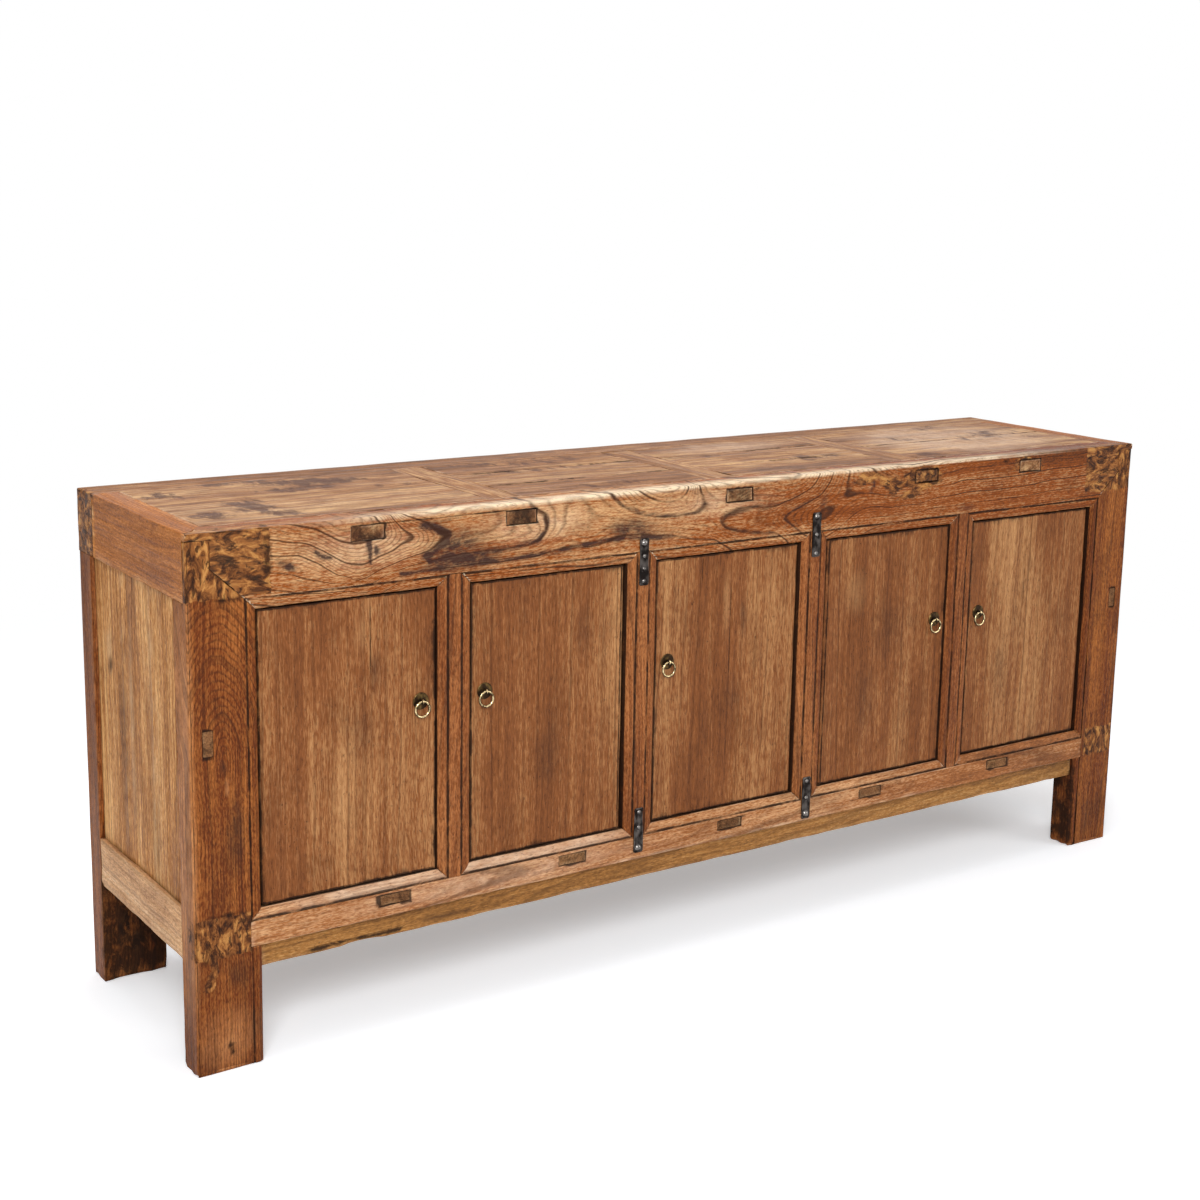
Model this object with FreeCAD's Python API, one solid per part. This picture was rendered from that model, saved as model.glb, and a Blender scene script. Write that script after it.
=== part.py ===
import FreeCAD, Part
import os

# A long low sideboard in the northern Chinese manner: a mortised hardwood frame, a framed and
# panelled top, and five plank doors that turn on wooden pivots and open by ring pulls.
# Lengths are millimetres. X runs to the right, Y to the back and Z up, from the middle of the floor.

# Whole cabinet
cabinet_width = 2112.0
cabinet_height = 880.0
body_depth = 482.0

# Fits between pieces, how far a cutting solid runs past the face that it opens, and how closely
# an edge has to lie at the place where it is looked for
joint_clearance = 0.1
seat_gap = 0.3
pivot_clearance = 0.08
pin_clearance = 0.05
split_leaf_clearance = 3.0
board_gap = 0.6
overcut = 3.0
edge_match = 0.01

# Legs
leg_width = 114.0
leg_depth = 54.0
leg_edge_round = 4.0

# Bead and quirk along the inner edges of the front frame
bead_width = 19.0
bead_fall = 5.0
bead_crest_share = 0.43
quirk_width = 1.2
quirk_depth = 1.6

# Hidden tenons
tenon_length = 30.0
tenon_thickness = 14.0
tenon_shoulder = 12.0

# Top frame, with the lapped and mitred front corners
top_rail_height = 109.0
front_rail_depth = 54.0
rear_rail_depth = 72.0
end_rail_width = 47.0
top_edge_round = 3.0
corner_lip = 12.0
corner_lap_width = 40.0
corner_lap_depth = 12.0
corner_mitre_rise = 51.0

# Top panels, with the battens between them and the bearers below them
top_panel_thickness = 12.0
top_panel_seam = 0.5
panel_tongue = 8.0
panel_tongue_thickness = 6.0
batten_width = 64.0
batten_height = 52.0
batten_spread = 463.0
batten_tenon_width = 58.0
batten_tenon_height = 24.0
batten_tenon_drop = 25.0
top_bearer_width = 62.0
top_bearer_spread = 750.0
top_board_counts = (1, 3, 3, 2)

# Bottom frame
sill_height = 262.0
front_bottom_rail_height = 62.0
rail_lap_depth = 20.0
low_rail_top = 268.0
low_rail_height = 90.0
low_rail_thickness = 40.0
low_rail_bevel_height = 13.0
low_rail_bevel_depth = 4.0
apron_height = 40.0
apron_setback = 10.0
apron_thickness = 18.0
wane_place = -760.0
wane_length = 110.0
wane_depth = 4.5

# Stiles between the doors, with a stop lip behind the door edges
stile_place_shares = (-0.627, -0.2235, 0.196, 0.604)
stile_width = 62.0
stile_depth = 40.0
stile_tenon_width = 20.0
stop_lip = 8.0

# Side and back panels
panel_recess = 9.0
panel_thickness = 13.0
side_board_count = 3
back_board_count = 6

# Floor and its bearers
floor_drop = 2.0
floor_thickness = 18.0
floor_groove = 8.0
floor_board_count = 3
bearer_pitch = 352.0
bearer_count = 5
bearer_width = 60.0
bearer_height = 38.0
bearer_tenon_width = 55.0
bearer_tenon_height = 18.0
bearer_tenon_drop = 4.5

# Shelf and its bearers
shelf_bearer_top = 568.0
shelf_bearer_height = 40.0
shelf_bearer_width = 22.0
shelf_tenon_width = 16.0
cross_bearer_width = 30.0
shelf_thickness = 18.0
shelf_board_count = 2

# Doors
hinge_sides = ("left", "right", "right", "left", "right")
door_thickness = 20.0
door_recess = 7.0
door_gap = 3.0
door_stop_gap = 0.5
door_batten_height = 32.0
door_batten_stand = 12.0
door_batten_housing = 5.0
door_batten_inset = 25.0
door_batten_edge = 44.0
pivot_radius = 5.0
pivot_reach = 12.0
pivot_seat = 18.0
pivot_lift = 6.0

# Ring pulls
pull_height = 561.0
pull_inset = 27.0
plate_radius = 14.5
plate_thickness = 1.5
plate_rim = 0.8
ring_radius = 13.0
ring_wire_radius = 2.0
ring_clearance = 0.4
eye_wall = 2.2
eye_width = 3.0
eye_edge_round = 0.7
split_pin_radius = 2.0
split_leaf_length = 16.0
split_leaf_width = 3.6
split_leaf_thickness = 1.4

# Iron straps on the middle stiles, with their nails
strap_width = 20.0
strap_length = 85.0
strap_thickness = 2.2
strap_corner_round = 4.0
strap_stiles = (2, 3, 2, 3)
strap_ends = ("top", "top", "bottom", "bottom")
strap_reach_shares = (0.28, 0.42, 0.35, 0.46)
strap_nail_shares = ((0.1, 0.38, 0.65, 0.91), (0.1, 0.5, 0.92), (0.1, 0.56, 0.9), (0.12, 0.5, 0.9))
big_dome_radius = 7.4
big_dome_height = 4.5
small_dome_radius = 4.4
small_dome_height = 2.8
nail_radius = 1.5
nail_depth = 12.0

# Levels, from the floor up
rail_under = cabinet_height - top_rail_height
opening_top = rail_under - bead_width
lap_top = cabinet_height - corner_lip
bead_foot = sill_height - bead_width
front_rail_bottom = sill_height - front_bottom_rail_height
low_rail_bottom = low_rail_top - low_rail_height
floor_top = sill_height - floor_drop
floor_under = floor_top - floor_thickness
top_panel_under = cabinet_height - top_panel_thickness

# Places across the width
half_width = cabinet_width / 2
leg_inner = half_width - leg_width
bead_inner = leg_inner + bead_width
end_inner = half_width - end_rail_width
panel_outer = half_width - panel_recess
panel_inner = panel_outer - panel_thickness
stile_places = [share * leg_inner for share in stile_place_shares]
stile_flat = stile_width - 2 * bead_width

# Places from front to back: the outer box has the nail domes at its front
nail_stand = strap_thickness + big_dome_height
front_y = -(body_depth - nail_stand) / 2
back_y = front_y + body_depth
front_inner = front_y + leg_depth
rear_inner = back_y - leg_depth
top_front_inner = front_y + front_rail_depth
top_rear_inner = back_y - rear_rail_depth
back_panel_outer = back_y - panel_recess
back_panel_inner = back_panel_outer - panel_thickness
door_front = front_y + door_recess
door_back = door_front + door_thickness
stop_front = door_back + door_stop_gap
stile_back = front_y + stile_depth
pivot_y = (door_front + door_back) / 2

# Door openings, from left to right
bay_left = [-leg_inner] + [place + stile_width / 2 for place in stile_places]
bay_right = [place - stile_width / 2 for place in stile_places] + [leg_inner]
door_bottom = sill_height + door_gap
door_top = opening_top - door_gap

# Ring pull places
plate_front = door_front - plate_thickness
eye_hole_radius = ring_wire_radius + ring_clearance
eye_radius = eye_hole_radius + eye_wall
eye_y = plate_front - eye_radius - seat_gap


def vector(x, y, z):
    """Point or direction in the cabinet's frame."""
    return FreeCAD.Vector(x, y, z)


def box(x0, x1, y0, y1, z0, z1):
    """Block between two corners."""
    return Part.makeBox(x1 - x0, y1 - y0, z1 - z0, vector(x0, y0, z0))


def mortise(block, gap=joint_clearance):
    """Hole for a tenon, tongue or board whose six limits are given."""
    x0, x1, y0, y1, z0, z1 = block
    return box(x0 - gap, x1 + gap, y0 - gap, y1 + gap, z0 - gap, z1 + gap)


def prism(points, travel):
    """Solid from a closed outline of points, carried along a vector."""
    wire = Part.makePolygon(points + points[:1])
    return Part.Face(wire).extrude(travel)


def front_prism(outline, y0, y1):
    """Solid with an outline seen from the front, as (x, z) pairs."""
    return prism([vector(x, y0, z) for x, z in outline], vector(0, y1 - y0, 0))


def plan_prism(outline, z0, z1):
    """Solid with an outline seen from above, as (x, y) pairs."""
    return prism([vector(x, y, z0) for x, y in outline], vector(0, 0, z1 - z0))


def rod(radius, start, travel):
    """Round bar from a point along a vector."""
    return Part.makeCylinder(radius, travel.Length, start, travel)


def mirrored(shape):
    """The same piece on the other side of the cabinet."""
    return shape.mirror(vector(0, 0, 0), vector(1, 0, 0))


def both_sides(shapes):
    """Shapes of the left side with their twins on the right."""
    return shapes + [mirrored(shape) for shape in shapes]


def tidy(shape):
    """Shape without leftover seams, as one solid or a group of solids."""
    solids = shape.removeSplitter().Solids
    return solids[0] if len(solids) == 1 else Part.makeCompound(solids)


def round_edges(shape, radius, *places):
    """Round the straight edges whose middles lie at the given places; None in a place means anywhere."""
    chosen = []
    for edge in shape.Edges:
        middle = edge.CenterOfMass
        for place in places:
            pairs = zip(place, (middle.x, middle.y, middle.z))
            if all(want is None or abs(want - have) < edge_match for want, have in pairs):
                chosen.append(edge)
    return shape.makeFillet(radius, chosen)


def seams_across_depth(x0, x1, y0, y1, z0, z1, count):
    """Slits that part a slab into boards, side by side from front to back."""
    pitch = (y1 - y0) / count
    middles = [y0 + pitch * number for number in range(1, count)]
    return [box(x0, x1, y - board_gap / 2, y + board_gap / 2, z0, z1) for y in middles]


def seams_across_width(x0, x1, y0, y1, z0, z1, count):
    """Slits that part a slab into boards, side by side from left to right."""
    pitch = (x1 - x0) / count
    middles = [x0 + pitch * number for number in range(1, count)]
    return [box(x - board_gap / 2, x + board_gap / 2, y0, y1, z0, z1) for x in middles]


def bead_waste(start, across, travel):
    """Wood that is planed off to leave a quirk and a bead; across points from the flat to the edge."""
    inward = vector(0, 1, 0)

    def place(reach, depth):
        return start + across * reach + inward * depth

    outside = place(0, -overcut)
    wall = place(0, quirk_depth)
    floor = place(quirk_width, quirk_depth)
    crest = place(bead_width * bead_crest_share, 0)
    edge = place(bead_width, bead_fall)
    beyond = place(bead_width + overcut, bead_fall)
    corner = place(bead_width + overcut, -overcut)
    edges = [
        Part.LineSegment(outside, wall).toShape(),
        Part.LineSegment(wall, floor).toShape(),
        Part.Arc(floor, crest, edge).toShape(),
        Part.LineSegment(edge, beyond).toShape(),
        Part.LineSegment(beyond, corner).toShape(),
        Part.LineSegment(corner, outside).toShape(),
    ]
    return Part.Face(Part.Wire(edges)).extrude(travel)


# Tenons and boards that several pieces share, as six limits each, on the left side
front_leg_tenon = (
    -end_inner + tenon_shoulder,
    -bead_inner - tenon_shoulder,
    front_y + corner_lap_depth + tenon_shoulder,
    front_y + min(front_rail_depth, leg_depth) - tenon_shoulder,
    rail_under,
    rail_under + tenon_length,
)
rear_leg_tenon = (
    -end_inner + tenon_shoulder,
    -leg_inner - tenon_shoulder,
    back_y - tenon_shoulder - tenon_thickness,
    back_y - tenon_shoulder,
    rail_under,
    rail_under + tenon_length,
)
front_rail_tenon = (
    -leg_inner - tenon_length,
    -leg_inner,
    front_y + rail_lap_depth,
    front_y + rail_lap_depth + tenon_thickness,
    front_rail_bottom + tenon_shoulder,
    bead_foot,
)
rear_rail_tenon = (
    -leg_inner - tenon_length,
    -leg_inner,
    rear_inner + tenon_shoulder,
    rear_inner + tenon_shoulder + tenon_thickness,
    low_rail_bottom + tenon_shoulder,
    low_rail_top - panel_tongue - tenon_shoulder,
)
side_panel = (
    -panel_outer,
    -panel_inner,
    front_inner - panel_tongue,
    rear_inner + panel_tongue,
    low_rail_top - panel_tongue,
    rail_under + panel_tongue,
)
back_panel = (
    -leg_inner - panel_tongue,
    leg_inner + panel_tongue,
    back_panel_inner,
    back_panel_outer,
    low_rail_top - panel_tongue,
    rail_under + panel_tongue,
)
shelf_tenon = (
    -panel_inner,
    -panel_inner + shelf_tenon_width,
    front_y,
    front_inner,
    shelf_bearer_top - shelf_bearer_height,
    shelf_bearer_top,
)
shelf_rear_tenon = (
    -panel_inner,
    -panel_inner + shelf_tenon_width,
    rear_inner,
    rear_inner + tenon_length,
    shelf_bearer_top - shelf_bearer_height,
    shelf_bearer_top,
)
floor_slab = (
    -half_width + low_rail_thickness - floor_groove,
    half_width - low_rail_thickness + floor_groove,
    front_inner,
    rear_inner,
    floor_under,
    floor_top,
)


def low_rail_tenon(y0, y1):
    """End tenon of a side bottom rail between two places along Y."""
    return (
        -half_width + tenon_shoulder,
        -half_width + tenon_shoulder + tenon_thickness,
        y0,
        y1,
        low_rail_bottom + tenon_shoulder,
        low_rail_top - panel_tongue - tenon_shoulder,
    )


front_low_tenon = low_rail_tenon(front_inner - tenon_length, front_inner)
rear_low_tenon = low_rail_tenon(rear_inner, rear_inner + tenon_length)


def batten_tenons(place):
    """Through tenon at the front and blind tenon at the rear of a batten or bearer of the top."""
    x0 = place - batten_tenon_width / 2
    x1 = place + batten_tenon_width / 2
    middle = cabinet_height - batten_tenon_drop
    z0 = middle - batten_tenon_height / 2
    z1 = middle + batten_tenon_height / 2
    front = (x0, x1, front_y, top_front_inner, z0, z1)
    rear = (x0, x1, top_rear_inner, top_rear_inner + tenon_length, z0, z1)
    return front, rear


def bearer_tenons(place):
    """Through tenon at the front and blind tenon at the rear of a floor bearer."""
    x0 = place - bearer_tenon_width / 2
    x1 = place + bearer_tenon_width / 2
    z1 = floor_under - bearer_tenon_drop
    z0 = z1 - bearer_tenon_height
    front = (x0, x1, front_y, front_inner, z0, z1)
    rear = (x0, x1, rear_inner, rear_inner + tenon_length, z0, z1)
    return front, rear


def stile_tenons(place):
    """Upper and lower tenon of a stile."""
    x0 = place - stile_tenon_width / 2
    x1 = place + stile_tenon_width / 2
    y1 = stile_back - tenon_shoulder / 2
    y0 = y1 - tenon_thickness
    upper = (x0, x1, y0, y1, rail_under, rail_under + tenon_length)
    lower = (x0, x1, y0, y1, bead_foot - tenon_length, bead_foot)
    return upper, lower


batten_places = [-batten_spread, 0, batten_spread]
top_bearer_places = [-top_bearer_spread, top_bearer_spread]
bearer_places = [bearer_pitch * (number - (bearer_count - 1) / 2) for number in range(bearer_count)]
top_panel_left = [-end_inner] + [place + batten_width / 2 for place in batten_places]
top_panel_right = [place - batten_width / 2 for place in batten_places] + [end_inner]


def stile_front(place, y0, y1):
    """Front outline of a stile, whose beads run out to points at both ends."""
    edge = stile_width / 2
    flat = stile_flat / 2
    left = [(-edge, sill_height), (-edge, opening_top), (-flat, rail_under)]
    right = [(flat, rail_under), (edge, opening_top), (edge, sill_height)]
    foot = [(flat, bead_foot), (-flat, bead_foot)]
    return front_prism([(place + x, z) for x, z in left + right + foot], y0, y1)


def stile_notches():
    """Notches that the rails have for the stiles."""
    return [stile_front(place, front_y - overcut, stile_back) for place in stile_places]


def rail_lap(y0, y1):
    """Front outline of the bottom rail, lapped over the beads of the legs."""
    lower = [(-bead_inner, bead_foot), (-bead_inner, front_rail_bottom)]
    upper = [(leg_inner, sill_height), (-leg_inner, sill_height)]
    twin = [(-x, z) for x, z in reversed(lower)]
    return front_prism(lower + twin + upper, y0, y1)


def top_panel_limits(number):
    """Six limits of a top panel's body, and of the tongue around it."""
    x0 = top_panel_left[number]
    x1 = top_panel_right[number]
    body = (
        x0 + top_panel_seam,
        x1 - top_panel_seam,
        top_front_inner + top_panel_seam,
        top_rear_inner - top_panel_seam,
        top_panel_under,
        cabinet_height,
    )
    tongue = (
        x0 - panel_tongue,
        x1 + panel_tongue,
        top_front_inner - panel_tongue,
        top_rear_inner + panel_tongue,
        top_panel_under,
        top_panel_under + panel_tongue_thickness,
    )
    return body, tongue


def top_grooves():
    """Grooves around the top panels for their tongues."""
    return [mortise(top_panel_limits(number)[1]) for number in range(len(top_panel_left))]


def pivot_places():
    """Pivot centres of the doors across the width."""
    reach = door_gap + door_thickness / 2
    lefts = [left + reach for left in bay_left]
    rights = [right - reach for right in bay_right]
    sides = zip(hinge_sides, lefts, rights)
    return [left if side == "left" else right for side, left, right in sides]


def pivot_sockets(level, travel):
    """Sockets for the door pivots, from a level up or down."""
    radius = pivot_radius + pivot_clearance
    return [rod(radius, vector(x, pivot_y, level), vector(0, 0, travel)) for x in pivot_places()]


def front_leg():
    """Left front leg: a plank with a beaded inner edge and a lap that rises into the top frame."""
    bar = box(-half_width, -leg_inner, front_y, front_inner, 0, lap_top)
    bar = round_edges(bar, leg_edge_round, (-half_width, front_y, None))
    bead_start = vector(-bead_inner, front_y, -overcut)
    bar = bar.cut(bead_waste(bead_start, vector(1, 0, 0), vector(0, 0, lap_top + 2 * overcut)))
    outer = -half_width - overcut
    post = front_prism(
        [
            (outer, -overcut),
            (-leg_inner, -overcut),
            (-leg_inner, opening_top),
            (-bead_inner, rail_under),
            (outer, rail_under),
        ],
        front_y - overcut,
        front_inner + overcut,
    )
    lap_edge = -half_width + corner_lap_width
    lap = front_prism(
        [
            (outer, rail_under - overcut),
            (-bead_inner, rail_under - overcut),
            (-bead_inner, rail_under),
            (lap_edge, rail_under + corner_mitre_rise),
            (lap_edge, lap_top),
            (outer, lap_top),
        ],
        front_y - overcut,
        front_y + corner_lap_depth,
    )
    leg = bar.common(post.fuse(lap)).fuse(box(*front_leg_tenon))
    holes = [mortise(block) for block in (front_rail_tenon, front_low_tenon, side_panel, shelf_tenon)]
    return tidy(leg.cut(holes + [rail_lap(front_y - overcut, front_y + rail_lap_depth)]))


def rear_leg():
    """Left rear leg: a plain plank under the rear top rail."""
    leg = box(-half_width, -leg_inner, rear_inner, back_y, 0, rail_under)
    leg = round_edges(leg, leg_edge_round, (-half_width, back_y, None))
    leg = leg.fuse(box(*rear_leg_tenon))
    blocks = (rear_rail_tenon, rear_low_tenon, side_panel, back_panel, shelf_rear_tenon)
    return tidy(leg.cut([mortise(block) for block in blocks]))


def front_top_rail():
    """Front rail of the top, with its bead, its lapped corners and its lip over them."""
    bar = box(-half_width, half_width, front_y, top_front_inner, opening_top, cabinet_height)
    bar = round_edges(bar, top_edge_round, (None, front_y, cabinet_height))
    bead_start = vector(-half_width - overcut, front_y, rail_under)
    bar = bar.cut(bead_waste(bead_start, vector(0, 0, -1), vector(cabinet_width + 2 * overcut, 0, 0)))
    top = cabinet_height + overcut
    lap_edge = -half_width + corner_lap_width
    bead = [(-bead_inner, rail_under), (-leg_inner, opening_top)]
    face = [(lap_edge, top), (lap_edge, rail_under + corner_mitre_rise)] + bead
    core = [(-end_inner, top), (-end_inner, rail_under)] + bead
    lap_back = front_y + corner_lap_depth
    face_twin = [(-x, z) for x, z in reversed(face)]
    core_twin = [(-x, z) for x, z in reversed(core)]
    keep = front_prism(face + face_twin, front_y - overcut, lap_back)
    corner = [(-half_width, front_y), (-end_inner, front_y), (-end_inner, top_front_inner)]
    lip = plan_prism(corner, lap_top, top)
    back = front_prism(core + core_twin, lap_back, top_front_inner + overcut)
    rail = bar.common(keep.multiFuse(both_sides([lip]) + [back]))
    holes = both_sides([mortise(front_leg_tenon)]) + stile_notches() + top_grooves()
    holes += [mortise(stile_tenons(place)[0]) for place in stile_places]
    holes += [mortise(batten_tenons(place)[0]) for place in batten_places + top_bearer_places]
    holes += pivot_sockets(opening_top, pivot_reach + pivot_lift)
    return tidy(rail.cut(holes + nail_holes()))


def rear_top_rail():
    """Rear rail of the top, a beam across both rear legs whose ends show at the sides."""
    rail = box(-half_width, half_width, top_rear_inner, back_y, rail_under, cabinet_height)
    rims = [(-half_width, None, cabinet_height), (half_width, None, cabinet_height)]
    rail = round_edges(rail, top_edge_round, (None, back_y, cabinet_height), *rims)
    holes = both_sides([mortise(rear_leg_tenon), mortise(side_panel)]) + [mortise(back_panel)]
    holes += [mortise(batten_tenons(place)[1]) for place in batten_places + top_bearer_places]
    return tidy(rail.cut(holes + top_grooves()))


def end_top_rail():
    """Left end rail of the top, mitred to the front rail and butted to the rear one."""
    rail = box(-half_width, -end_inner, front_y, top_rear_inner, rail_under, cabinet_height)
    rail = round_edges(rail, top_edge_round, (-half_width, None, cabinet_height))
    outer_corner = (-half_width, front_y)
    inner_corner = (-end_inner, top_front_inner)
    beyond = [(-half_width, front_y - overcut), (-end_inner, front_y - overcut)]
    lip = plan_prism([outer_corner] + beyond + [inner_corner], lap_top, cabinet_height + overcut)
    lap = box(
        -half_width - overcut,
        -end_inner + overcut,
        front_y - overcut,
        front_y + corner_lap_depth,
        rail_under - overcut,
        lap_top,
    )
    return tidy(rail.cut([lip, lap, mortise(side_panel)] + top_grooves()))


def top_batten(place):
    """Cross batten that shows in the top between two panels."""
    limits = (place - batten_width / 2, place + batten_width / 2, top_front_inner, top_rear_inner)
    batten = box(*limits, cabinet_height - batten_height, cabinet_height)
    batten = batten.multiFuse([box(*block) for block in batten_tenons(place)])
    return tidy(batten.cut(top_grooves()))


def top_bearer(place):
    """Bearer that lies hidden below an outer top panel."""
    limits = (place - top_bearer_width / 2, place + top_bearer_width / 2, top_front_inner, top_rear_inner)
    bearer = box(*limits, cabinet_height - batten_height, top_panel_under)
    return tidy(bearer.multiFuse([box(*block) for block in batten_tenons(place)]))


def top_battens():
    """Battens and bearers of the top."""
    battens = [top_batten(place) for place in batten_places]
    return Part.makeCompound(battens + [top_bearer(place) for place in top_bearer_places])


def top_panel(number):
    """Floating panel of the top, flush with the frame and tongued into it."""
    body, tongue = top_panel_limits(number)
    panel = box(*body).fuse(box(*tongue))
    return tidy(panel.cut(seams_across_depth(*tongue[:5], cabinet_height, top_board_counts[number])))


def stile(place):
    """Upright between two doors, beaded on both edges, with a stop lip behind the doors."""
    edge = stile_width / 2
    bar = box(place - edge, place + edge, front_y, stile_back, bead_foot, rail_under)
    travel = vector(0, 0, rail_under - bead_foot + 2 * overcut)
    for side in (-1, 1):
        start = vector(place + side * stile_flat / 2, front_y, bead_foot - overcut)
        bar = bar.cut(bead_waste(start, vector(side, 0, 0), travel))
    bar = bar.common(stile_front(place, front_y - overcut, stile_back + overcut))
    lip = edge + stop_lip
    pieces = [box(place - lip, place + lip, stop_front, stile_back, sill_height, opening_top)]
    pieces += [box(*block) for block in stile_tenons(place)]
    return tidy(bar.multiFuse(pieces).cut(nail_holes()))


def front_bottom_rail():
    """Front sill, beaded on its upper edge and lapped over the beads of the legs."""
    limits = (front_y, front_inner, front_rail_bottom, sill_height)
    bar = box(-bead_inner, bead_inner, *limits)
    bead_start = vector(-half_width, front_y, bead_foot)
    bar = bar.cut(bead_waste(bead_start, vector(0, 0, 1), vector(cabinet_width, 0, 0)))
    lap_back = front_y + rail_lap_depth
    core = box(-leg_inner, leg_inner, lap_back, front_inner, front_rail_bottom, sill_height)
    rail = bar.common(rail_lap(front_y - overcut, lap_back).fuse(core))
    rail = rail.multiFuse(both_sides([box(*front_rail_tenon)]))
    holes = stile_notches() + [mortise(stile_tenons(place)[1]) for place in stile_places]
    holes += [mortise(bearer_tenons(place)[0]) for place in bearer_places]
    holes += pivot_sockets(sill_height, -pivot_reach - seat_gap)
    return tidy(rail.cut(holes + nail_holes()))


def front_apron():
    """Narrow board under the front sill, with a wane on its lower edge."""
    y0 = front_y + apron_setback
    y1 = y0 + apron_thickness
    z0 = front_rail_bottom - apron_height
    board = box(-leg_inner, leg_inner, y0, y1, z0, front_rail_bottom)
    start = vector(wane_place - wane_length / 2, y0 - overcut, z0 - overcut)
    crest = vector(wane_place, y0 - overcut, z0 + wane_depth)
    end = vector(wane_place + wane_length / 2, y0 - overcut, z0 - overcut)
    edges = [Part.Arc(start, crest, end).toShape(), Part.LineSegment(end, start).toShape()]
    wane = Part.Face(Part.Wire(edges)).extrude(vector(0, apron_thickness + 2 * overcut, 0))
    return tidy(board.cut(wane))


def low_side_rail():
    """Left bottom rail, flush with the legs, with a bevel on its lower edge."""
    outer = -half_width
    inner = outer + low_rail_thickness
    outline = [
        (outer + low_rail_bevel_depth, low_rail_bottom),
        (outer, low_rail_bottom + low_rail_bevel_height),
        (outer, low_rail_top),
        (inner, low_rail_top),
        (inner, low_rail_bottom),
    ]
    rail = front_prism(outline, front_inner, rear_inner)
    rail = rail.multiFuse([box(*front_low_tenon), box(*rear_low_tenon)])
    return tidy(rail.cut([mortise(side_panel), mortise(floor_slab)]))


def rear_bottom_rail():
    """Rear sill between the rear legs."""
    rail = box(-leg_inner, leg_inner, rear_inner, back_y, low_rail_bottom, low_rail_top)
    rail = rail.multiFuse(both_sides([box(*rear_rail_tenon)]))
    holes = [mortise(bearer_tenons(place)[1]) for place in bearer_places]
    return tidy(rail.cut(holes + [mortise(back_panel)]))


def side_panels():
    """Upright boards that close the two sides."""
    boards = tidy(box(*side_panel).cut(seams_across_depth(*side_panel, side_board_count)))
    return Part.makeCompound(boards.Solids + mirrored(boards).Solids)


def back_boards():
    """Upright boards that close the back."""
    return tidy(box(*back_panel).cut(seams_across_width(*back_panel, back_board_count)))


def floor_boards():
    """Boards of the floor, housed in the side rails and carried by the bearers."""
    return tidy(box(*floor_slab).cut(seams_across_depth(*floor_slab, floor_board_count)))


def floor_bearers():
    """Bearers under the floor, whose tenons show in the front sill."""
    bearers = []
    for place in bearer_places:
        x0 = place - bearer_width / 2
        x1 = place + bearer_width / 2
        bar = box(x0, x1, front_inner, rear_inner, floor_under - bearer_height, floor_under)
        bearers.append(tidy(bar.multiFuse([box(*block) for block in bearer_tenons(place)])))
    return Part.makeCompound(bearers)


def shelf_bearers():
    """Bearers of the shelf: one along each side, and one behind each middle stile."""
    z0 = shelf_bearer_top - shelf_bearer_height
    limits = (-panel_inner, -panel_inner + shelf_bearer_width, front_inner, rear_inner)
    side = box(*limits, z0, shelf_bearer_top)
    side = tidy(side.multiFuse([box(*shelf_tenon), box(*shelf_rear_tenon)]))
    bearers = both_sides([side])
    for place in stile_places[1:3]:
        x0 = place - cross_bearer_width / 2
        x1 = place + cross_bearer_width / 2
        bearers.append(box(x0, x1, stile_back, back_panel_inner, z0, shelf_bearer_top))
    return Part.makeCompound(bearers)


def shelf_boards():
    """Boards of the shelf, laid on its bearers between the side panels."""
    slab = (
        -panel_inner + joint_clearance,
        panel_inner - joint_clearance,
        front_inner,
        rear_inner,
        shelf_bearer_top,
        shelf_bearer_top + shelf_thickness,
    )
    return tidy(box(*slab).cut(seams_across_depth(*slab, shelf_board_count)))


def strap_places():
    """Middle across the width, rail end and stile end of each iron strap."""
    places = []
    for number, end, reach in zip(strap_stiles, strap_ends, strap_reach_shares):
        on_rail = strap_length * reach
        on_stile = strap_length - on_rail
        limits = (rail_under + on_rail, rail_under - on_stile)
        if end == "bottom":
            limits = (bead_foot - on_rail, bead_foot + on_stile)
        places.append((stile_places[number - 1], *limits))
    return places


def nail_places():
    """Point on the wood's face for each strap nail, and whether its dome is a big one."""
    nails = []
    for (x, rail_end, stile_end), shares in zip(strap_places(), strap_nail_shares):
        for number, share in enumerate(shares):
            z = rail_end + (stile_end - rail_end) * share
            nails.append((vector(x, front_y, z), number == 0))
    return nails


def nail_holes():
    """Holes for the strap nails, from in front of the straps to their tips in the wood."""
    radius = nail_radius + pin_clearance
    stand = vector(0, strap_thickness + overcut, 0)
    travel = vector(0, strap_thickness + overcut + nail_depth + pin_clearance, 0)
    return [rod(radius, place - stand, travel) for place, _ in nail_places()]


def iron_straps():
    """Forged straps over the joints of the two middle stiles."""
    straps = []
    for x, rail_end, stile_end in strap_places():
        x0 = x - strap_width / 2
        x1 = x + strap_width / 2
        z0 = min(rail_end, stile_end)
        z1 = max(rail_end, stile_end)
        plate = box(x0, x1, front_y - strap_thickness, front_y, z0, z1)
        corners = [(x, None, z) for x in (x0, x1) for z in (z0, z1)]
        straps.append(tidy(round_edges(plate, strap_corner_round, *corners).cut(nail_holes())))
    return Part.makeCompound(straps)


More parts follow.
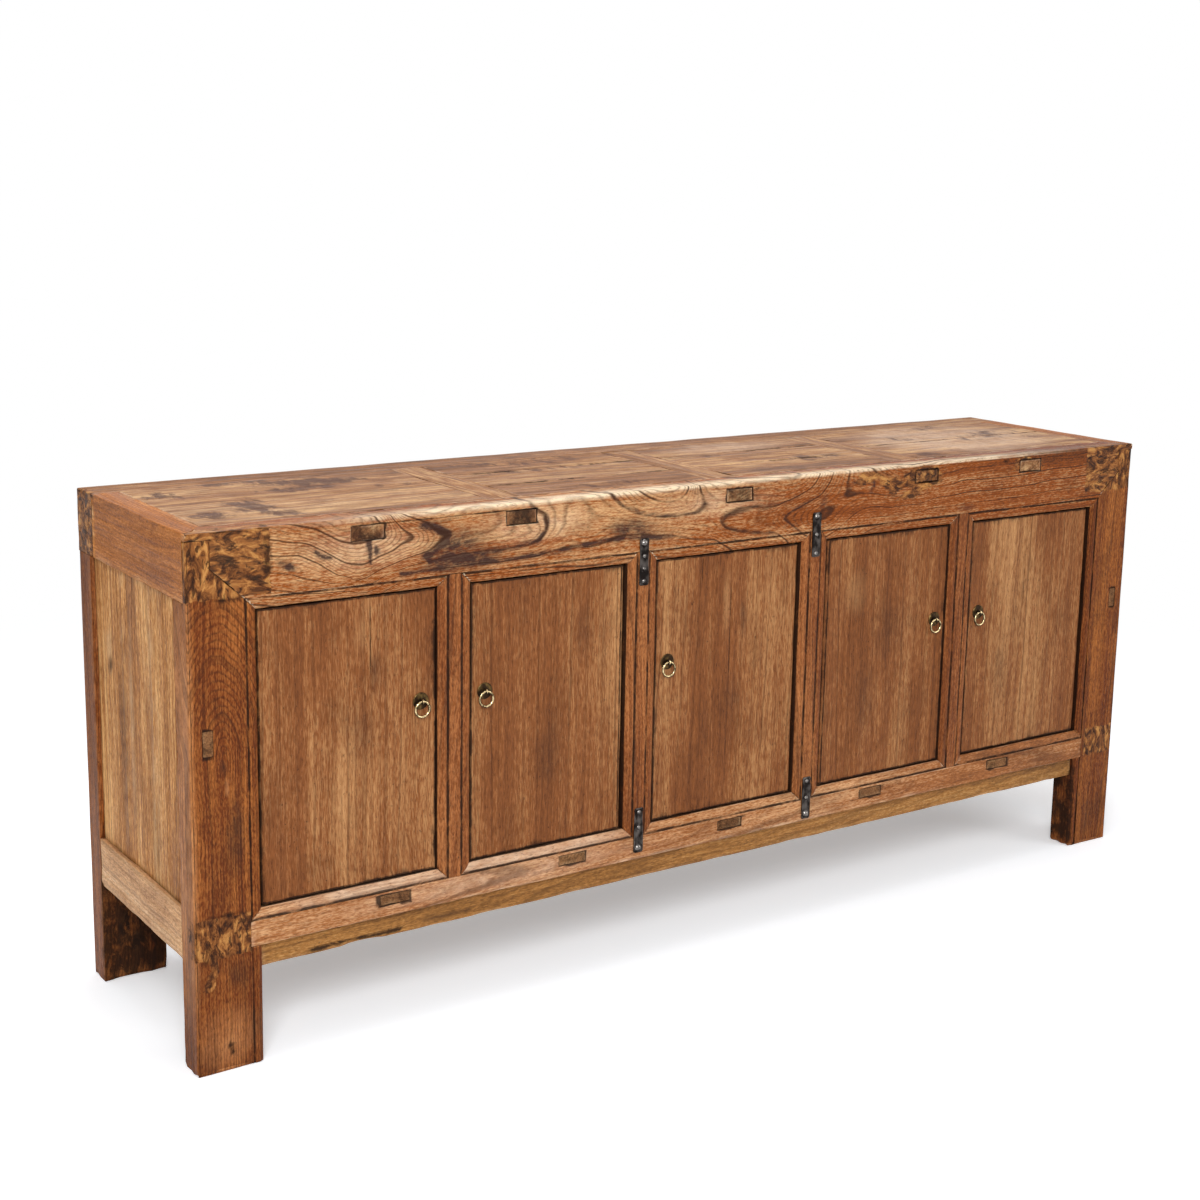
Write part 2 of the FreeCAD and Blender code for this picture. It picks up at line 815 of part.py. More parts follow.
def strap_nails():
    """Domed nails that hold the straps."""
    nails = []
    for place, is_big in nail_places():
        radius = big_dome_radius if is_big else small_dome_radius
        height = big_dome_height if is_big else small_dome_height
        seat = place - vector(0, strap_thickness, 0)
        ball = (radius**2 + height**2) / (2 * height)
        sphere = Part.makeSphere(ball, seat + vector(0, ball - height, 0))
        front = box(
            place.x - 2 * radius,
            place.x + 2 * radius,
            seat.y - 2 * height,
            seat.y,
            place.z - 2 * radius,
            place.z + 2 * radius,
        )
        shank = rod(nail_radius, seat, vector(0, strap_thickness + nail_depth, 0))
        nails.append(tidy(sphere.common(front).fuse(shank)))
    return Part.makeCompound(nails)


def door_batten_limits(number):
    """Six limits of the upper and the lower batten on the back of a door, ending short of the split pin."""
    x0 = bay_left[number] + door_gap + door_batten_inset
    x1 = bay_right[number] - door_gap - door_batten_inset
    pin_side = split_leaf_width / 2 + split_leaf_clearance
    if hinge_sides[number] == "left":
        x1 = pull_place(number) - pin_side
    else:
        x0 = pull_place(number) + pin_side
    y0 = door_back - door_batten_housing
    y1 = door_back + door_batten_stand
    low = door_bottom + door_batten_edge
    high = door_top - door_batten_edge
    lower = (x0, x1, y0, y1, low, low + door_batten_height)
    upper = (x0, x1, y0, y1, high - door_batten_height, high)
    return upper, lower


def pivot_pins(number, radius):
    """Upper and lower pivot of a door, reaching from its edge into the sockets."""
    x = pivot_places()[number]
    travel = vector(0, 0, pivot_seat + door_gap + pivot_reach)
    upper = rod(radius, vector(x, pivot_y, door_top - pivot_seat), travel)
    lower = rod(radius, vector(x, pivot_y, door_bottom + pivot_seat), -travel)
    return [upper, lower]


def pull_place(number):
    """Where the ring pull of a door stands across the width."""
    if hinge_sides[number] == "left":
        return bay_right[number] - door_gap - pull_inset
    return bay_left[number] + door_gap + pull_inset


def split_pin_shank(number, radius):
    """Shank of a split pin, from its eye to the back of the door."""
    start_y = eye_y + eye_hole_radius + eye_wall / 2
    start = vector(pull_place(number), start_y, pull_height)
    return rod(radius, start, vector(0, door_back - start_y, 0))


def door_panel(number):
    """Plank of a door, with a full round on the edge where it turns."""
    x0 = bay_left[number] + door_gap
    x1 = bay_right[number] - door_gap
    pivot = pivot_places()[number]
    if hinge_sides[number] == "left":
        x0 = pivot
    else:
        x1 = pivot
    plank = box(x0, x1, door_front, door_back, door_bottom, door_top)
    nose = rod(door_thickness / 2, vector(pivot, pivot_y, door_bottom), vector(0, 0, door_top - door_bottom))
    holes = [mortise(block, pin_clearance) for block in door_batten_limits(number)]
    holes += pivot_pins(number, pivot_radius + pin_clearance)
    holes.append(split_pin_shank(number, split_pin_radius + pin_clearance))
    return tidy(plank.fuse(nose).cut(holes))


def door_battens(number):
    """Battens housed in the back of a door."""
    return Part.makeCompound([box(*block) for block in door_batten_limits(number)])


def door_pivots(number):
    """Pivot pins of a door."""
    return Part.makeCompound(pivot_pins(number, pivot_radius))


def door_backplate(number):
    """Round plate behind a ring pull, with a bevelled rim."""
    centre = vector(pull_place(number), door_front, pull_height)
    flat = plate_thickness - plate_rim
    disc = rod(plate_radius, centre, vector(0, -flat, 0))
    rim_centre = centre - vector(0, flat, 0)
    rim = Part.makeCone(plate_radius, plate_radius - plate_rim, plate_rim, rim_centre, vector(0, -1, 0))
    return tidy(disc.fuse(rim).cut(split_pin_shank(number, split_pin_radius + pin_clearance)))


def door_split_pin(number):
    """Split pin: an eye for the ring, a shank through the door and two leaves turned over behind it."""
    x = pull_place(number)
    eye_start = vector(x - eye_width / 2, eye_y, pull_height)
    travel = vector(eye_width, 0, 0)
    eye = rod(eye_radius, eye_start, travel)
    eye = eye.makeFillet(eye_edge_round, [edge for edge in eye.Edges if edge.Closed])
    leaves = box(
        x - split_leaf_width / 2,
        x + split_leaf_width / 2,
        door_back,
        door_back + split_leaf_thickness,
        pull_height - split_leaf_length,
        pull_height + split_leaf_length,
    )
    pin = eye.multiFuse([split_pin_shank(number, split_pin_radius), leaves])
    hole_start = eye_start - vector(overcut, 0, 0)
    return tidy(pin.cut(rod(eye_hole_radius, hole_start, travel + vector(2 * overcut, 0, 0))))


def door_ring(number):
    """Ring of a pull, hanging from the eye of its split pin."""
    centre = vector(pull_place(number), eye_y, pull_height - ring_radius)
    return Part.makeTorus(ring_radius, ring_wire_radius, centre, vector(0, 1, 0))


def pieces():
    """Every piece of the sideboard, by name."""
    left_leg = front_leg()
    back_leg = rear_leg()
    end_rail = end_top_rail()
    low_rail = low_side_rail()
    made = {
        "front_left_leg": left_leg,
        "front_right_leg": mirrored(left_leg),
        "rear_left_leg": back_leg,
        "rear_right_leg": mirrored(back_leg),
        "front_top_rail": front_top_rail(),
        "rear_top_rail": rear_top_rail(),
        "left_top_rail": end_rail,
        "right_top_rail": mirrored(end_rail),
        "top_battens": top_battens(),
        "front_bottom_rail": front_bottom_rail(),
        "front_apron": front_apron(),
        "left_bottom_rail": low_rail,
        "right_bottom_rail": mirrored(low_rail),
        "rear_bottom_rail": rear_bottom_rail(),
        "side_panels": side_panels(),
        "back_panel": back_boards(),
        "floor_bearers": floor_bearers(),
        "floor_boards": floor_boards(),
        "shelf_bearers": shelf_bearers(),
        "shelf_boards": shelf_boards(),
        "iron_straps": iron_straps(),
        "strap_nails": strap_nails(),
    }
    for number in range(len(top_panel_left)):
        made[f"top_panel_{number + 1}"] = top_panel(number)
    for number, place in enumerate(stile_places):
        made[f"stile_{number + 1}"] = stile(place)
    for number in range(len(hinge_sides)):
        door = f"door_{number + 1}"
        made[f"{door}_panel"] = door_panel(number)
        made[f"{door}_battens"] = door_battens(number)
        made[f"{door}_pivots"] = door_pivots(number)
        made[f"{door}_backplate"] = door_backplate(number)
        made[f"{door}_split_pin"] = door_split_pin(number)
        made[f"{door}_ring"] = door_ring(number)
    return made


os.makedirs("parts", exist_ok=True)
for name, shape in pieces().items():
    shape.exportStep(f"parts/{name}.step")
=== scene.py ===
import logging
import math
from dataclasses import dataclass
from enum import Enum

import bmesh
import bpy
import numpy as np
from mathutils import Matrix, Vector


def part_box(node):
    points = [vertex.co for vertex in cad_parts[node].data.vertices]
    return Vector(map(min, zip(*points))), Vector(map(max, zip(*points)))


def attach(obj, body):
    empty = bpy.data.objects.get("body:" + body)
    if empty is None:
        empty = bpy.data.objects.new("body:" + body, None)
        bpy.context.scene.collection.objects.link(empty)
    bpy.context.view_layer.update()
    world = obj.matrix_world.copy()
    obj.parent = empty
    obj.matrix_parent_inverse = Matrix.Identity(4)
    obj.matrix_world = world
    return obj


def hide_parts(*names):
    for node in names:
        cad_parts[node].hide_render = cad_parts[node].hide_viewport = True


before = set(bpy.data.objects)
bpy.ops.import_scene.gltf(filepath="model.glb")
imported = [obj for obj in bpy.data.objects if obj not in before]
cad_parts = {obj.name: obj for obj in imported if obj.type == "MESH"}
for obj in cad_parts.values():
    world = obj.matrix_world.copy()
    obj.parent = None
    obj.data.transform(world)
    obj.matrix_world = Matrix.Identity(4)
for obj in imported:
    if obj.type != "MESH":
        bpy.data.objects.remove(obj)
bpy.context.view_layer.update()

log = logging.getLogger("sideboard")

# Millimetres in a metre, and the levels of the cabinet that the looks refer to, in millimetres
MM = 1000.0
FRONT_Y = -237.65
TOP_Z = 880.0
LEFT_X = -1056.0
OPENING_X = 943.0
OPENING_TOP = 752.0
SILL_Z = 262.0
BEAD_MM = 19.0
QUIRK_MM = 1.2
REAR_LEG_Y = 190.35
LEG_INNER_X = OPENING_X - 1

# How near two places count as one, in metres, and the least divisor
TOUCH_M = 1e-6
TINY = 1e-9

Point = tuple[float, float]
Place = tuple[float, float, float]
Rgba = tuple[float, float, float, float]
Socket = bpy.types.NodeSocket


def linear(code: str) -> Rgba:
    """Turns an sRGB hex colour into linear light.

    Args:
        code: six hex digits after a hash sign.

    Returns:
        The linear red, green, blue and an alpha of one.
    """
    values = [int(code[place:place + 2], 16) / 255 for place in (1, 3, 5)]
    light = [v / 12.92 if v <= 0.04045 else ((v + 0.055) / 1.055) ** 2.4 for v in values]
    return (light[0], light[1], light[2], 1.0)


def put(tree: bpy.types.NodeTree, kind: str, inputs: dict | None = None, **settings) -> bpy.types.Node:
    """Adds one node to a tree, with its settings, its socket values and its links.

    Args:
        tree: the node tree that gets the node.
        kind: the node's type, without the words ShaderNode.
        inputs: a value or another node's output socket for each input, by name or by number.
        settings: properties of the node.

    Returns:
        The new node.
    """
    node = tree.nodes.new("ShaderNode" + kind)
    for key, value in settings.items():
        setattr(node, key, value)
    for key, value in (inputs or {}).items():
        if isinstance(value, Socket):
            tree.links.new(value, node.inputs[key])
        else:
            node.inputs[key].default_value = value
    return node


def ramp_stops(node: bpy.types.Node, stops: list[tuple[float, float | Rgba]]) -> Socket:
    """Sets the stops of a colour ramp.

    Args:
        node: the ramp node.
        stops: pairs of place and grey level or colour, in order.

    Returns:
        The ramp's colour output.
    """
    elements = node.color_ramp.elements
    while len(elements) < len(stops):
        elements.new(0.5)
    for element, (place, level) in zip(elements, stops):
        element.position = place
        element.color = level if isinstance(level, tuple) else (level, level, level, 1.0)
    return node.outputs["Color"]


def read(rows: bpy.types.bpy_prop_collection, field: str, width: int = 1, kind: type = np.int32) -> np.ndarray:
    """Reads one field from every row of a mesh's list.

    Args:
        rows: the list, such as the mesh's edges.
        field: the field's name.
        width: how many numbers each row holds.
        kind: the type of the numbers.

    Returns:
        The numbers, one row for each row of the list.
    """
    flat = np.empty(len(rows) * width, kind)
    rows.foreach_get(field, flat)
    return flat.reshape(-1, width) if width > 1 else flat


# How many waves make a swell, how their lengths differ and what their sum is divided by
WAVE_COUNT = 9
WAVE_PACES = (0.6, 1.7)
WAVE_SHARE = 4


def waves(places: np.ndarray, length: float, seed: int) -> np.ndarray:
    """Sums a few waves that run in different directions into a smooth, uneven swell.

    Args:
        places: rows of x, y and z in millimetres.
        length: the waves' length in millimetres.
        seed: the number that fixes their directions.

    Returns:
        A value between about minus one and one for each row.
    """
    draw = np.random.default_rng(seed)
    turns = draw.normal(size=(WAVE_COUNT, 3))
    paces = draw.uniform(*WAVE_PACES, WAVE_COUNT)[:, None]
    turns *= (2 * math.pi / length) * paces / np.linalg.norm(turns, axis=1)[:, None]
    starts = draw.uniform(0, 2 * math.pi, WAVE_COUNT)
    return np.sin(places @ turns.T + starts).sum(axis=1) / WAVE_SHARE


class Grain(Enum):
    """The way the fibres of a board run."""

    ACROSS = 0
    DEEP = 1
    UP = 2


class Face(Enum):
    """A face of the cabinet that carries marks, with its two axes and the axis it looks along."""

    FRONT = (0, 2, 1)
    SIDE = (1, 2, 0)
    TOP = (0, 1, 2)


class Mask(Enum):
    """What a mark does to the wood under it."""

    STAIN = "stain"
    OCHRE = "ochre"
    # Wear, together with pale outer edges that also serve as painted highlights along beads and arrises
    WEAR = "wear"
    # Grime, together with painted shade in grooves, inner corners, along the door gaps and on the walls of the
    # openings
    GRIME = "grime"


# Where each face lies along the axis it looks along
FACE_LEVELS = {Face.FRONT: FRONT_Y, Face.SIDE: LEFT_X, Face.TOP: TOP_Z}


@dataclass(frozen=True)
class Mark:
    """A stain, patch or line on one face, drawn as a blob or along a line of points, in millimetres."""

    mask: Mask
    points: tuple[Point, ...]
    size: Point
    soft: float = 0.6
    strength: float = 1.0
    turn: float = 0.0
    square: bool = False
    face: Face = Face.FRONT
    depth: float = 26.0
    level: float | None = None

    def spread(self, places: np.ndarray) -> np.ndarray:
        """Works out how strongly the mark falls on each place, which fades out behind the face.

        Args:
            places: rows of x, y and z in millimetres.

        Returns:
            A share from zero to one for each row.
        """
        first, second, through = self.face.value
        plane = places[:, (first, second)]
        level = FACE_LEVELS[self.face] if self.level is None else self.level
        near = np.clip(1.5 - np.abs(places[:, through] - level) / self.depth, 0, 1)
        reach = self.from_blob(plane) if len(self.points) == 1 else self.from_line(plane)
        fall = np.clip((1 - reach) / self.soft, 0, 1)
        return self.strength * near * fall * fall * (3 - 2 * fall)

    def from_blob(self, plane: np.ndarray) -> np.ndarray:
        """Measures how far each place lies from the middle of the mark.

        Args:
            plane: rows of places on the face.

        Returns:
            The distance for each row, where the rim of the mark is one.
        """
        offset = plane - np.array(self.points[0])
        angle = math.radians(self.turn)
        along = offset[:, 0] * math.cos(angle) + offset[:, 1] * math.sin(angle)
        aside = offset[:, 1] * math.cos(angle) - offset[:, 0] * math.sin(angle)
        ratio = np.abs(np.stack([along / self.size[0], aside / self.size[1]], axis=1))
        return ratio.max(axis=1) if self.square else np.sqrt((ratio ** 2).sum(axis=1))

    def from_line(self, plane: np.ndarray) -> np.ndarray:
        """Measures how far each place lies from the line through the mark's points.

        Args:
            plane: rows of places on the face.

        Returns:
            The distance for each row, where the rim of the mark is one.
        """
        reach = np.full(len(plane), np.inf)
        for start, end in zip(self.points[:-1], self.points[1:]):
            run = np.array(end) - np.array(start)
            share = np.clip((plane - start) @ run / max(run @ run, TINY), 0, 1)
            gap = np.linalg.norm(plane - (np.array(start) + share[:, None] * run), axis=1)
            reach = np.minimum(reach, gap / self.size[0])
        return reach


def marks(mask: Mask, *rows: tuple, **common) -> tuple[Mark, ...]:
    """Makes several marks of one kind.

    Args:
        mask: what the marks do.
        rows: each mark's points, size, softness, strength and turn, of which the last may be left out.
        common: what all of them share.

    Returns:
        One mark for each row.
    """
    return tuple(Mark(mask, *row, **common) for row in rows)


@dataclass(frozen=True)
class Crack:
    """A narrow split along the fibres of a board's front: where it lies across them and where it runs."""

    place: float
    run: Point
    width: float
    depth: float
    skin_mm: float = 12.0
    full_share: float = 0.9
    taper: float = 3.0

    def cuts(self) -> list[float]:
        """Gives the three places across the board where the split needs a line of points."""
        return [self.place - self.width, self.place, self.place + self.width]

    def share(self, places: np.ndarray, grain: Grain) -> np.ndarray:
        """Works out how deep the split is at each place.

        Args:
            places: rows of x, y and z in millimetres.
            grain: the way the fibres run.

        Returns:
            A share of the depth for each row.
        """
        across = 2 if grain is Grain.ACROSS else 0
        middle, half = (self.run[0] + self.run[1]) / 2, abs(self.run[1] - self.run[0]) / 2
        near = np.clip(1 - np.abs(places[:, across] - self.place) / (self.width * self.full_share), 0, 1)
        along = np.clip(self.taper - self.taper * np.abs(places[:, grain.value] - middle) / half, 0, 1)
        return near * along * (places[:, 1] < FRONT_Y + self.skin_mm)


@dataclass(frozen=True)
class GrowthLines:
    """Growth lines drawn on a board's front, from which the whole figure is drawn out smoothly."""

    lines: tuple[tuple[float, tuple[Point, ...]], ...]
    slack: float = 0.004
    wrap: float = 0.6
    unit_mm: float = 100.0

    def rings(self, places: np.ndarray) -> np.ndarray:
        """Spreads the lines' values over a board as a thin plate would bend through them.

        Args:
            places: rows of x, y and z in millimetres.

        Returns:
            The ring depth in millimetres for each row.
        """
        knots = np.array([point for _, line in self.lines for point in line]) / self.unit_mm
        values = np.array([value for value, line in self.lines for _ in line])
        rise = places[:, 2] + self.wrap * (places[:, 1] - FRONT_Y)
        query = np.stack([places[:, 0], rise], axis=1) / self.unit_mm
        count = len(knots)
        system = np.zeros((count + 3, count + 3))
        system[:count, :count] = self.plate(knots, knots) + np.eye(count) * self.slack
        system[:count, count] = 1
        system[:count, count + 1:] = knots
        system[count:, :count] = system[:count, count:].T
        weights = np.linalg.solve(system, np.concatenate([values, np.zeros(3)]))
        bend = self.plate(query, knots) @ weights[:count]
        return bend + weights[count] + query @ weights[count + 1:]

    @staticmethod
    def plate(first: np.ndarray, second: np.ndarray) -> np.ndarray:
        """Gives the thin plate's bending between each pair of points."""
        gap = ((first[:, None, :] - second[None, :, :]) ** 2).sum(axis=2)
        return 0.5 * gap * np.log(np.maximum(gap, TINY))


@dataclass(frozen=True)
class Log:
    """Where the heart of the tree lay beside a board: a point on it and its lean across the fibres."""

    heart: Place
    lean: Point = (0.0, 0.0)
    upper_only: bool = False

    def rings(self, places: np.ndarray, grain: Grain) -> np.ndarray:
        """Measures each place's distance from the heart line.

        Args:
            places: rows of x, y and z in millimetres.
            grain: the way the fibres run.

        Returns:
            The ring depth in millimetres for each row.
        """
        along = places[:, grain.value] - self.heart[grain.value]
        along = np.maximum(along, 0) if self.upper_only else along
        aside = [axis for axis in range(3) if axis != grain.value]
        gaps = [places[:, axis] - self.heart[axis] - along * math.tan(math.radians(lean))
                for axis, lean in zip(aside, self.lean)]
        return np.hypot(*gaps)


class Finish:
    """A finish that is made once for each way the fibres run and then found again."""

    def material(self, grain: Grain = Grain.UP) -> bpy.types.Material:
        """Gives the finish, and makes it the first time.

        Args:
            grain: the way the fibres run, or the metal was drawn out.

        Returns:
            The material.
        """
        title = self.title(grain)
        found = bpy.data.materials.get(title)
        if found:
            return found
        made = bpy.data.materials.new(title)
        made.use_nodes = True
        made.node_tree.nodes.clear()
        self.paint(made.node_tree, grain)
        return made


# How far a ragged edge strays, the share of a mark at which it starts and stops to show, and for each mark
# with such an edge the levels between which it comes in
RAGGED_SHARE = 0.9
MARK_SHOWS = (0.02, 0.2)
RAGGED_EDGES = {Mask.STAIN: (0.3, 0.75), Mask.OCHRE: (0.2, 0.5), Mask.GRIME: (0.1, 0.85)}
WASH_LEVELS = (0.5, 1.7)


@dataclass(frozen=True)
class Layers:
    """The layers of a wooden finish: patterns that follow the fibres and are laid over each other."""

    tree: bpy.types.NodeTree
    places: Socket
    grain: Grain

    def pattern(self, along: float, across: float, detail: float, low: float, high: float,
                twist: float = 0.0, grit: float = 0.5) -> Socket:
        """Spreads a cloudy pattern along the fibres and cuts it to the range that shows.

        Args:
            along: the length of its features along the fibres, in millimetres.
            across: their length across the fibres, in millimetres.
            detail: how many finer clouds it holds.
            low: the level of the cloud that becomes zero.
            high: the level of the cloud that becomes one.
            twist: how far the cloud is pulled out of shape.
            grit: how strong the finer clouds are.

        Returns:
            The pattern, from zero to one.
        """
        stretch = tuple(MM / (along if axis == self.grain.value else across) for axis in range(3))
        scaled = put(self.tree, "Mapping", {"Vector": self.places, "Scale": stretch})
        cloud = put(self.tree, "TexNoise", {
            "Vector": scaled.outputs[0], "Scale": 1.0, "Detail": detail, "Roughness": grit, "Distortion": twist})
        cut = put(self.tree, "MapRange", {0: cloud.outputs[0], 1: low, 2: high}, interpolation_type="SMOOTHSTEP")
        return cut.outputs[0]

    def lay(self, below: Socket, above: Socket | Rgba, share: Socket, strength: float) -> Socket:
        """Lays one colour over another.

        Args:
            below: the colour that is there.
            above: the colour that is laid over it.
            share: where it is laid.
            strength: how much of it shows.

        Returns:
            The mixed colour.
        """
        amount = put(self.tree, "Math", {0: share, 1: strength}, operation="MULTIPLY", use_clamp=True)
        mixed = put(self.tree, "Mix", {0: amount.outputs[0], 6: below, 7: above}, data_type="RGBA")
        return mixed.outputs[2]

    def ragged_mark(self, which: Mask, breakup: Socket) -> Socket:
        """Reads a mark's share from the board and gives it a ragged edge.

        Args:
            which: the kind of mark.
            breakup: the pattern that breaks up its edge.

        Returns:
            The share of the mark.
        """
        share = put(self.tree, "Attribute", attribute_name=which.value).outputs["Fac"]
        low, high = (edge + RAGGED_SHARE / 2 for edge in RAGGED_EDGES[which])
        ragged = put(self.tree, "Math", {0: breakup, 1: RAGGED_SHARE, 2: share}, operation="MULTIPLY_ADD")
        gated = put(self.tree, "MapRange", {0: ragged.outputs[0], 1: low, 2: high})
        some = put(self.tree, "MapRange", {0: share, 1: MARK_SHOWS[0], 2: MARK_SHOWS[1]})
        both = put(self.tree, "Math", {0: gated.outputs[0], 1: some.outputs[0]}, operation="MULTIPLY")
        return both.outputs[0]

    def washed_mark(self, which: Mask, breakup: Socket) -> Socket:
        """Reads a mark's share from the board as a soft wash that is a little uneven.

        Args:
            which: the kind of mark.
            breakup: the pattern that makes it uneven.

        Returns:
            The share of the mark.
        """
        share = put(self.tree, "Attribute", attribute_name=which.value).outputs["Fac"]
        uneven = put(self.tree, "MapRange", {0: breakup, 3: WASH_LEVELS[0], 4: WASH_LEVELS[1]})
        wash = put(self.tree, "Math", {0: share, 1: uneven.outputs[0]}, operation="MULTIPLY", use_clamp=True)
        return wash.outputs[0]

    def ruled(self, depth: Socket, gap: float, stops: list[Point]) -> Socket:
        """Draws one line for every step of ring depth.

        Args:
            depth: the ring depth in millimetres.
            gap: the distance from line to line in millimetres.
            stops: the line's profile, as pairs of place and strength.

        Returns:
            The strength of the lines.
        """
        year = put(self.tree, "Math", {0: depth, 1: 1 / gap}, operation="MULTIPLY")
        year = put(self.tree, "Math", {0: year.outputs[0]}, operation="FRACT")
        return ramp_stops(put(self.tree, "ValToRGB", {0: year.outputs[0]}), stops)


# The wood's patterns from broad to fine: length along and across the fibres in millimetres, detail, the levels
# that become zero and one, twist and grit. The finest are drawn coarser than life so that they show.
PATTERNS = {
    "tone": (700, 150, 2, 0.3, 0.7),
    "band": (1100, 44, 3, 0.3, 0.7),
    "streak": (500, 15, 3, 0.3, 0.7),
    "fibre": (320, 3.2, 2, 0.32, 0.68),
    "pores": (9, 2.4, 2, 0.6, 0.66),
    "flecks": (9, 4.5, 2, 0.71, 0.76),
    "blotch": (120, 60, 5, 0.48, 0.72, 0.0, 0.62),
    "fading": (240, 50, 2, 0.35, 0.6),
    "vein": (34, 17, 7, 0.3, 0.7, 0.8, 0.68),
    "pits": (19, 8, 5, 0.56, 0.62, 0.8, 0.6),
    "slow_sway": (90, 26, 1, 0.0, 1.0),
    "quick_sway": (15, 8, 1, 0.0, 1.0),
}

# Profiles of a year's line of pores and of a bold line, how far each sway moves them, and how much each
# pattern stands proud of the surface
RING_STOPS = [(0.0, 1.0), (0.14, 0.6), (0.3, 0.0), (0.82, 0.0), (1.0, 1.0)]
BOLD_STOPS = [(0.0, 1.0), (0.05, 0.9), (0.1, 0.0), (0.94, 0.0), (1.0, 1.0)]
SWAYS = (("slow_sway", 1.0), ("quick_sway", 0.4))
RELIEF = (("hair", 0.4), ("rings", -0.5), ("pores", -0.5), ("flecks", -0.8))
FIBRE_RELIEF = 0.5
PIT_RELIEF = -1.5
RELIEF_M = 0.0012


@dataclass(frozen=True)
class WaxedElm(Finish):
    """Northern elm, planed by hand and waxed for generations: ring-porous, so each year leaves a dark
    line of pores, with a satin wax surface, paler where hands have worn it and along its edges, where the pale
    also serves as a painted highlight, and dark where dirt has stayed, with painted shade in the same dark
    laid in its grooves, inner corners, door gaps and openings."""

    name: str
    deep: str
    body: str
    pale: str
    ring: str
    ring_mm: float = 6.0
    major_mm: float = 31.0
    wobble_mm: float = 4.0
    ring_strength: float = 0.35
    bold_strength: float = 0.35
    tone_share: float = 0.28
    band_share: float = 0.2
    streak_share: float = 0.14
    fibre_share: float = 0.22
    hair_share: float = 0.26
    hair_mm: Point = (8.0, 2.1)
    patina_share: float = 0.16
    patina_mm: Point = (24.0, 12.0)
    ragged_mm: Point = (36.0, 20.0)
    pore_strength: float = 0.38
    blotch_strength: float = 0.35
    fleck_strength: float = 0.6
    worn_strength: float = 0.8
    stain_strength: float = 0.88
    burl_strength: float = 0.94
    pit_strength: float = 0.8
    grime_and_shade_strength: float = 0.9
    roughness: float = 0.5
    gloss_swing: float = 0.08
    grime_and_shade_rough: float = 0.25
    ior: float = 1.45
    specular: float = 0.14
    bump: float = 0.5
    wander_mm: float = 24.0
    wander_span: float = 330.0
    clumped: bool = False
    stain: str = "#3a2418"
    ochre: str = "#ba8448"
    ochre_mid: str = "#875329"
    ochre_dark: str = "#4f2d17"
    worn: str = "#cfa679"
    grime: str = "#20130c"

    def title(self, grain: Grain) -> str:
        """Names the material for boards whose fibres run one way."""
        return f"waxed_elm_{self.name}_{grain.name.lower()}"

    def paint(self, tree: bpy.types.NodeTree, grain: Grain) -> None:
        """Builds the layers of the finish from the wood out to the dirt and the painted shade.

        Args:
            tree: the material's node tree.
            grain: the way the fibres run.
        """
        wood = Layers(tree, self.wandered(tree), grain)
        rows = PATTERNS | {"hair": (*self.hair_mm, 2, 0.36, 0.64),
                           "patina": (*self.patina_mm, 6, 0.3, 0.7, 0.3, 0.75),
                           "ragged": (*self.ragged_mm, 7, 0.3, 0.7, 0.4, 0.68)}
        clouds = {name: wood.pattern(*row) for name, row in rows.items()}
        clouds |= self.growth(wood, clouds)
        burl = wood.ragged_mark(Mask.OCHRE, clouds["ragged"])
        # Dirt, and painted shade in grooves, inner corners, along the door gaps and in the openings behind the
        # front
        grime = wood.ragged_mark(Mask.GRIME, clouds["ragged"])
        colour = self.tinted(wood, clouds)
        colour = wood.lay(colour, self.mottled(wood, clouds), burl, self.burl_strength)
        colour = wood.lay(colour, linear(self.grime), grime, self.grime_and_shade_strength)
        low, high = self.roughness - self.gloss_swing, self.roughness + self.gloss_swing
        gloss = put(tree, "MapRange", {0: clouds["streak"], 3: low, 4: high})
        gloss = put(tree, "Math", {0: grime, 1: self.grime_and_shade_rough, 2: gloss.outputs[0]}, operation="MULTIPLY_ADD")
        surface = put(tree, "BsdfPrincipled", {
            "Base Color": colour, "Roughness": gloss.outputs[0], "Normal": self.raised(tree, clouds, burl),
            "IOR": self.ior, "Specular IOR Level": self.specular})
        put(tree, "OutputMaterial", {"Surface": surface.outputs[0]})

    def wandered(self, tree: bpy.types.NodeTree) -> Socket:
        """Lets the places drift a little, so that the fibres don't run dead straight.

        Args:
            tree: the material's node tree.

        Returns:
            The places in metres.
        """
        places = put(tree, "TexCoord").outputs["Object"]
        drift = put(tree, "TexNoise", {"Vector": places, "Scale": MM / self.wander_span, "Detail": 1.0})
        drift = put(tree, "VectorMath", {0: drift.outputs["Color"], 1: (0.5, 0.5, 0.5)}, operation="SUBTRACT")
        drift = put(tree, "VectorMath", {0: drift.outputs[0], "Scale": self.wander_mm / MM}, operation="SCALE")
        return put(tree, "VectorMath", {0: places, 1: drift.outputs[0]}, operation="ADD").outputs[0]

    def growth(self, wood: Layers, clouds: dict[str, Socket]) -> dict[str, Socket]:
        """Draws the growth rings: the ring depth comes with the board, and two clouds make the lines waver.

        Args:
            wood: the layers of the finish.
            clouds: the wood's patterns by name.

        Returns:
            The rings and the bold lines among them, broken up here and there.
        """
        depth = put(wood.tree, "Attribute", attribute_name="ring").outputs["Fac"]
        for name, share in SWAYS:
            sway = put(wood.tree, "Math", {0: clouds[name], 1: 0.5}, operation="SUBTRACT").outputs[0]
            depth = put(wood.tree, "Math", {0: sway, 1: self.wobble_mm * share, 2: depth},
                        operation="MULTIPLY_ADD").outputs[0]
        broken = put(wood.tree, "Math", {0: clouds["fading"], 1: clouds["ragged"]}, operation="ADD")
        faded = put(wood.tree, "MapRange", {0: broken.outputs[0], 1: 0.2, 2: 1.2, 3: 0.3, 4: 1.0}).outputs[0]
        lines = {"rings": wood.ruled(depth, self.ring_mm, RING_STOPS),
                 "bold": wood.ruled(depth, self.major_mm, BOLD_STOPS)}
        return {name: put(wood.tree, "Math", {0: line, 1: faded}, operation="MULTIPLY").outputs[0]
                for name, line in lines.items()}

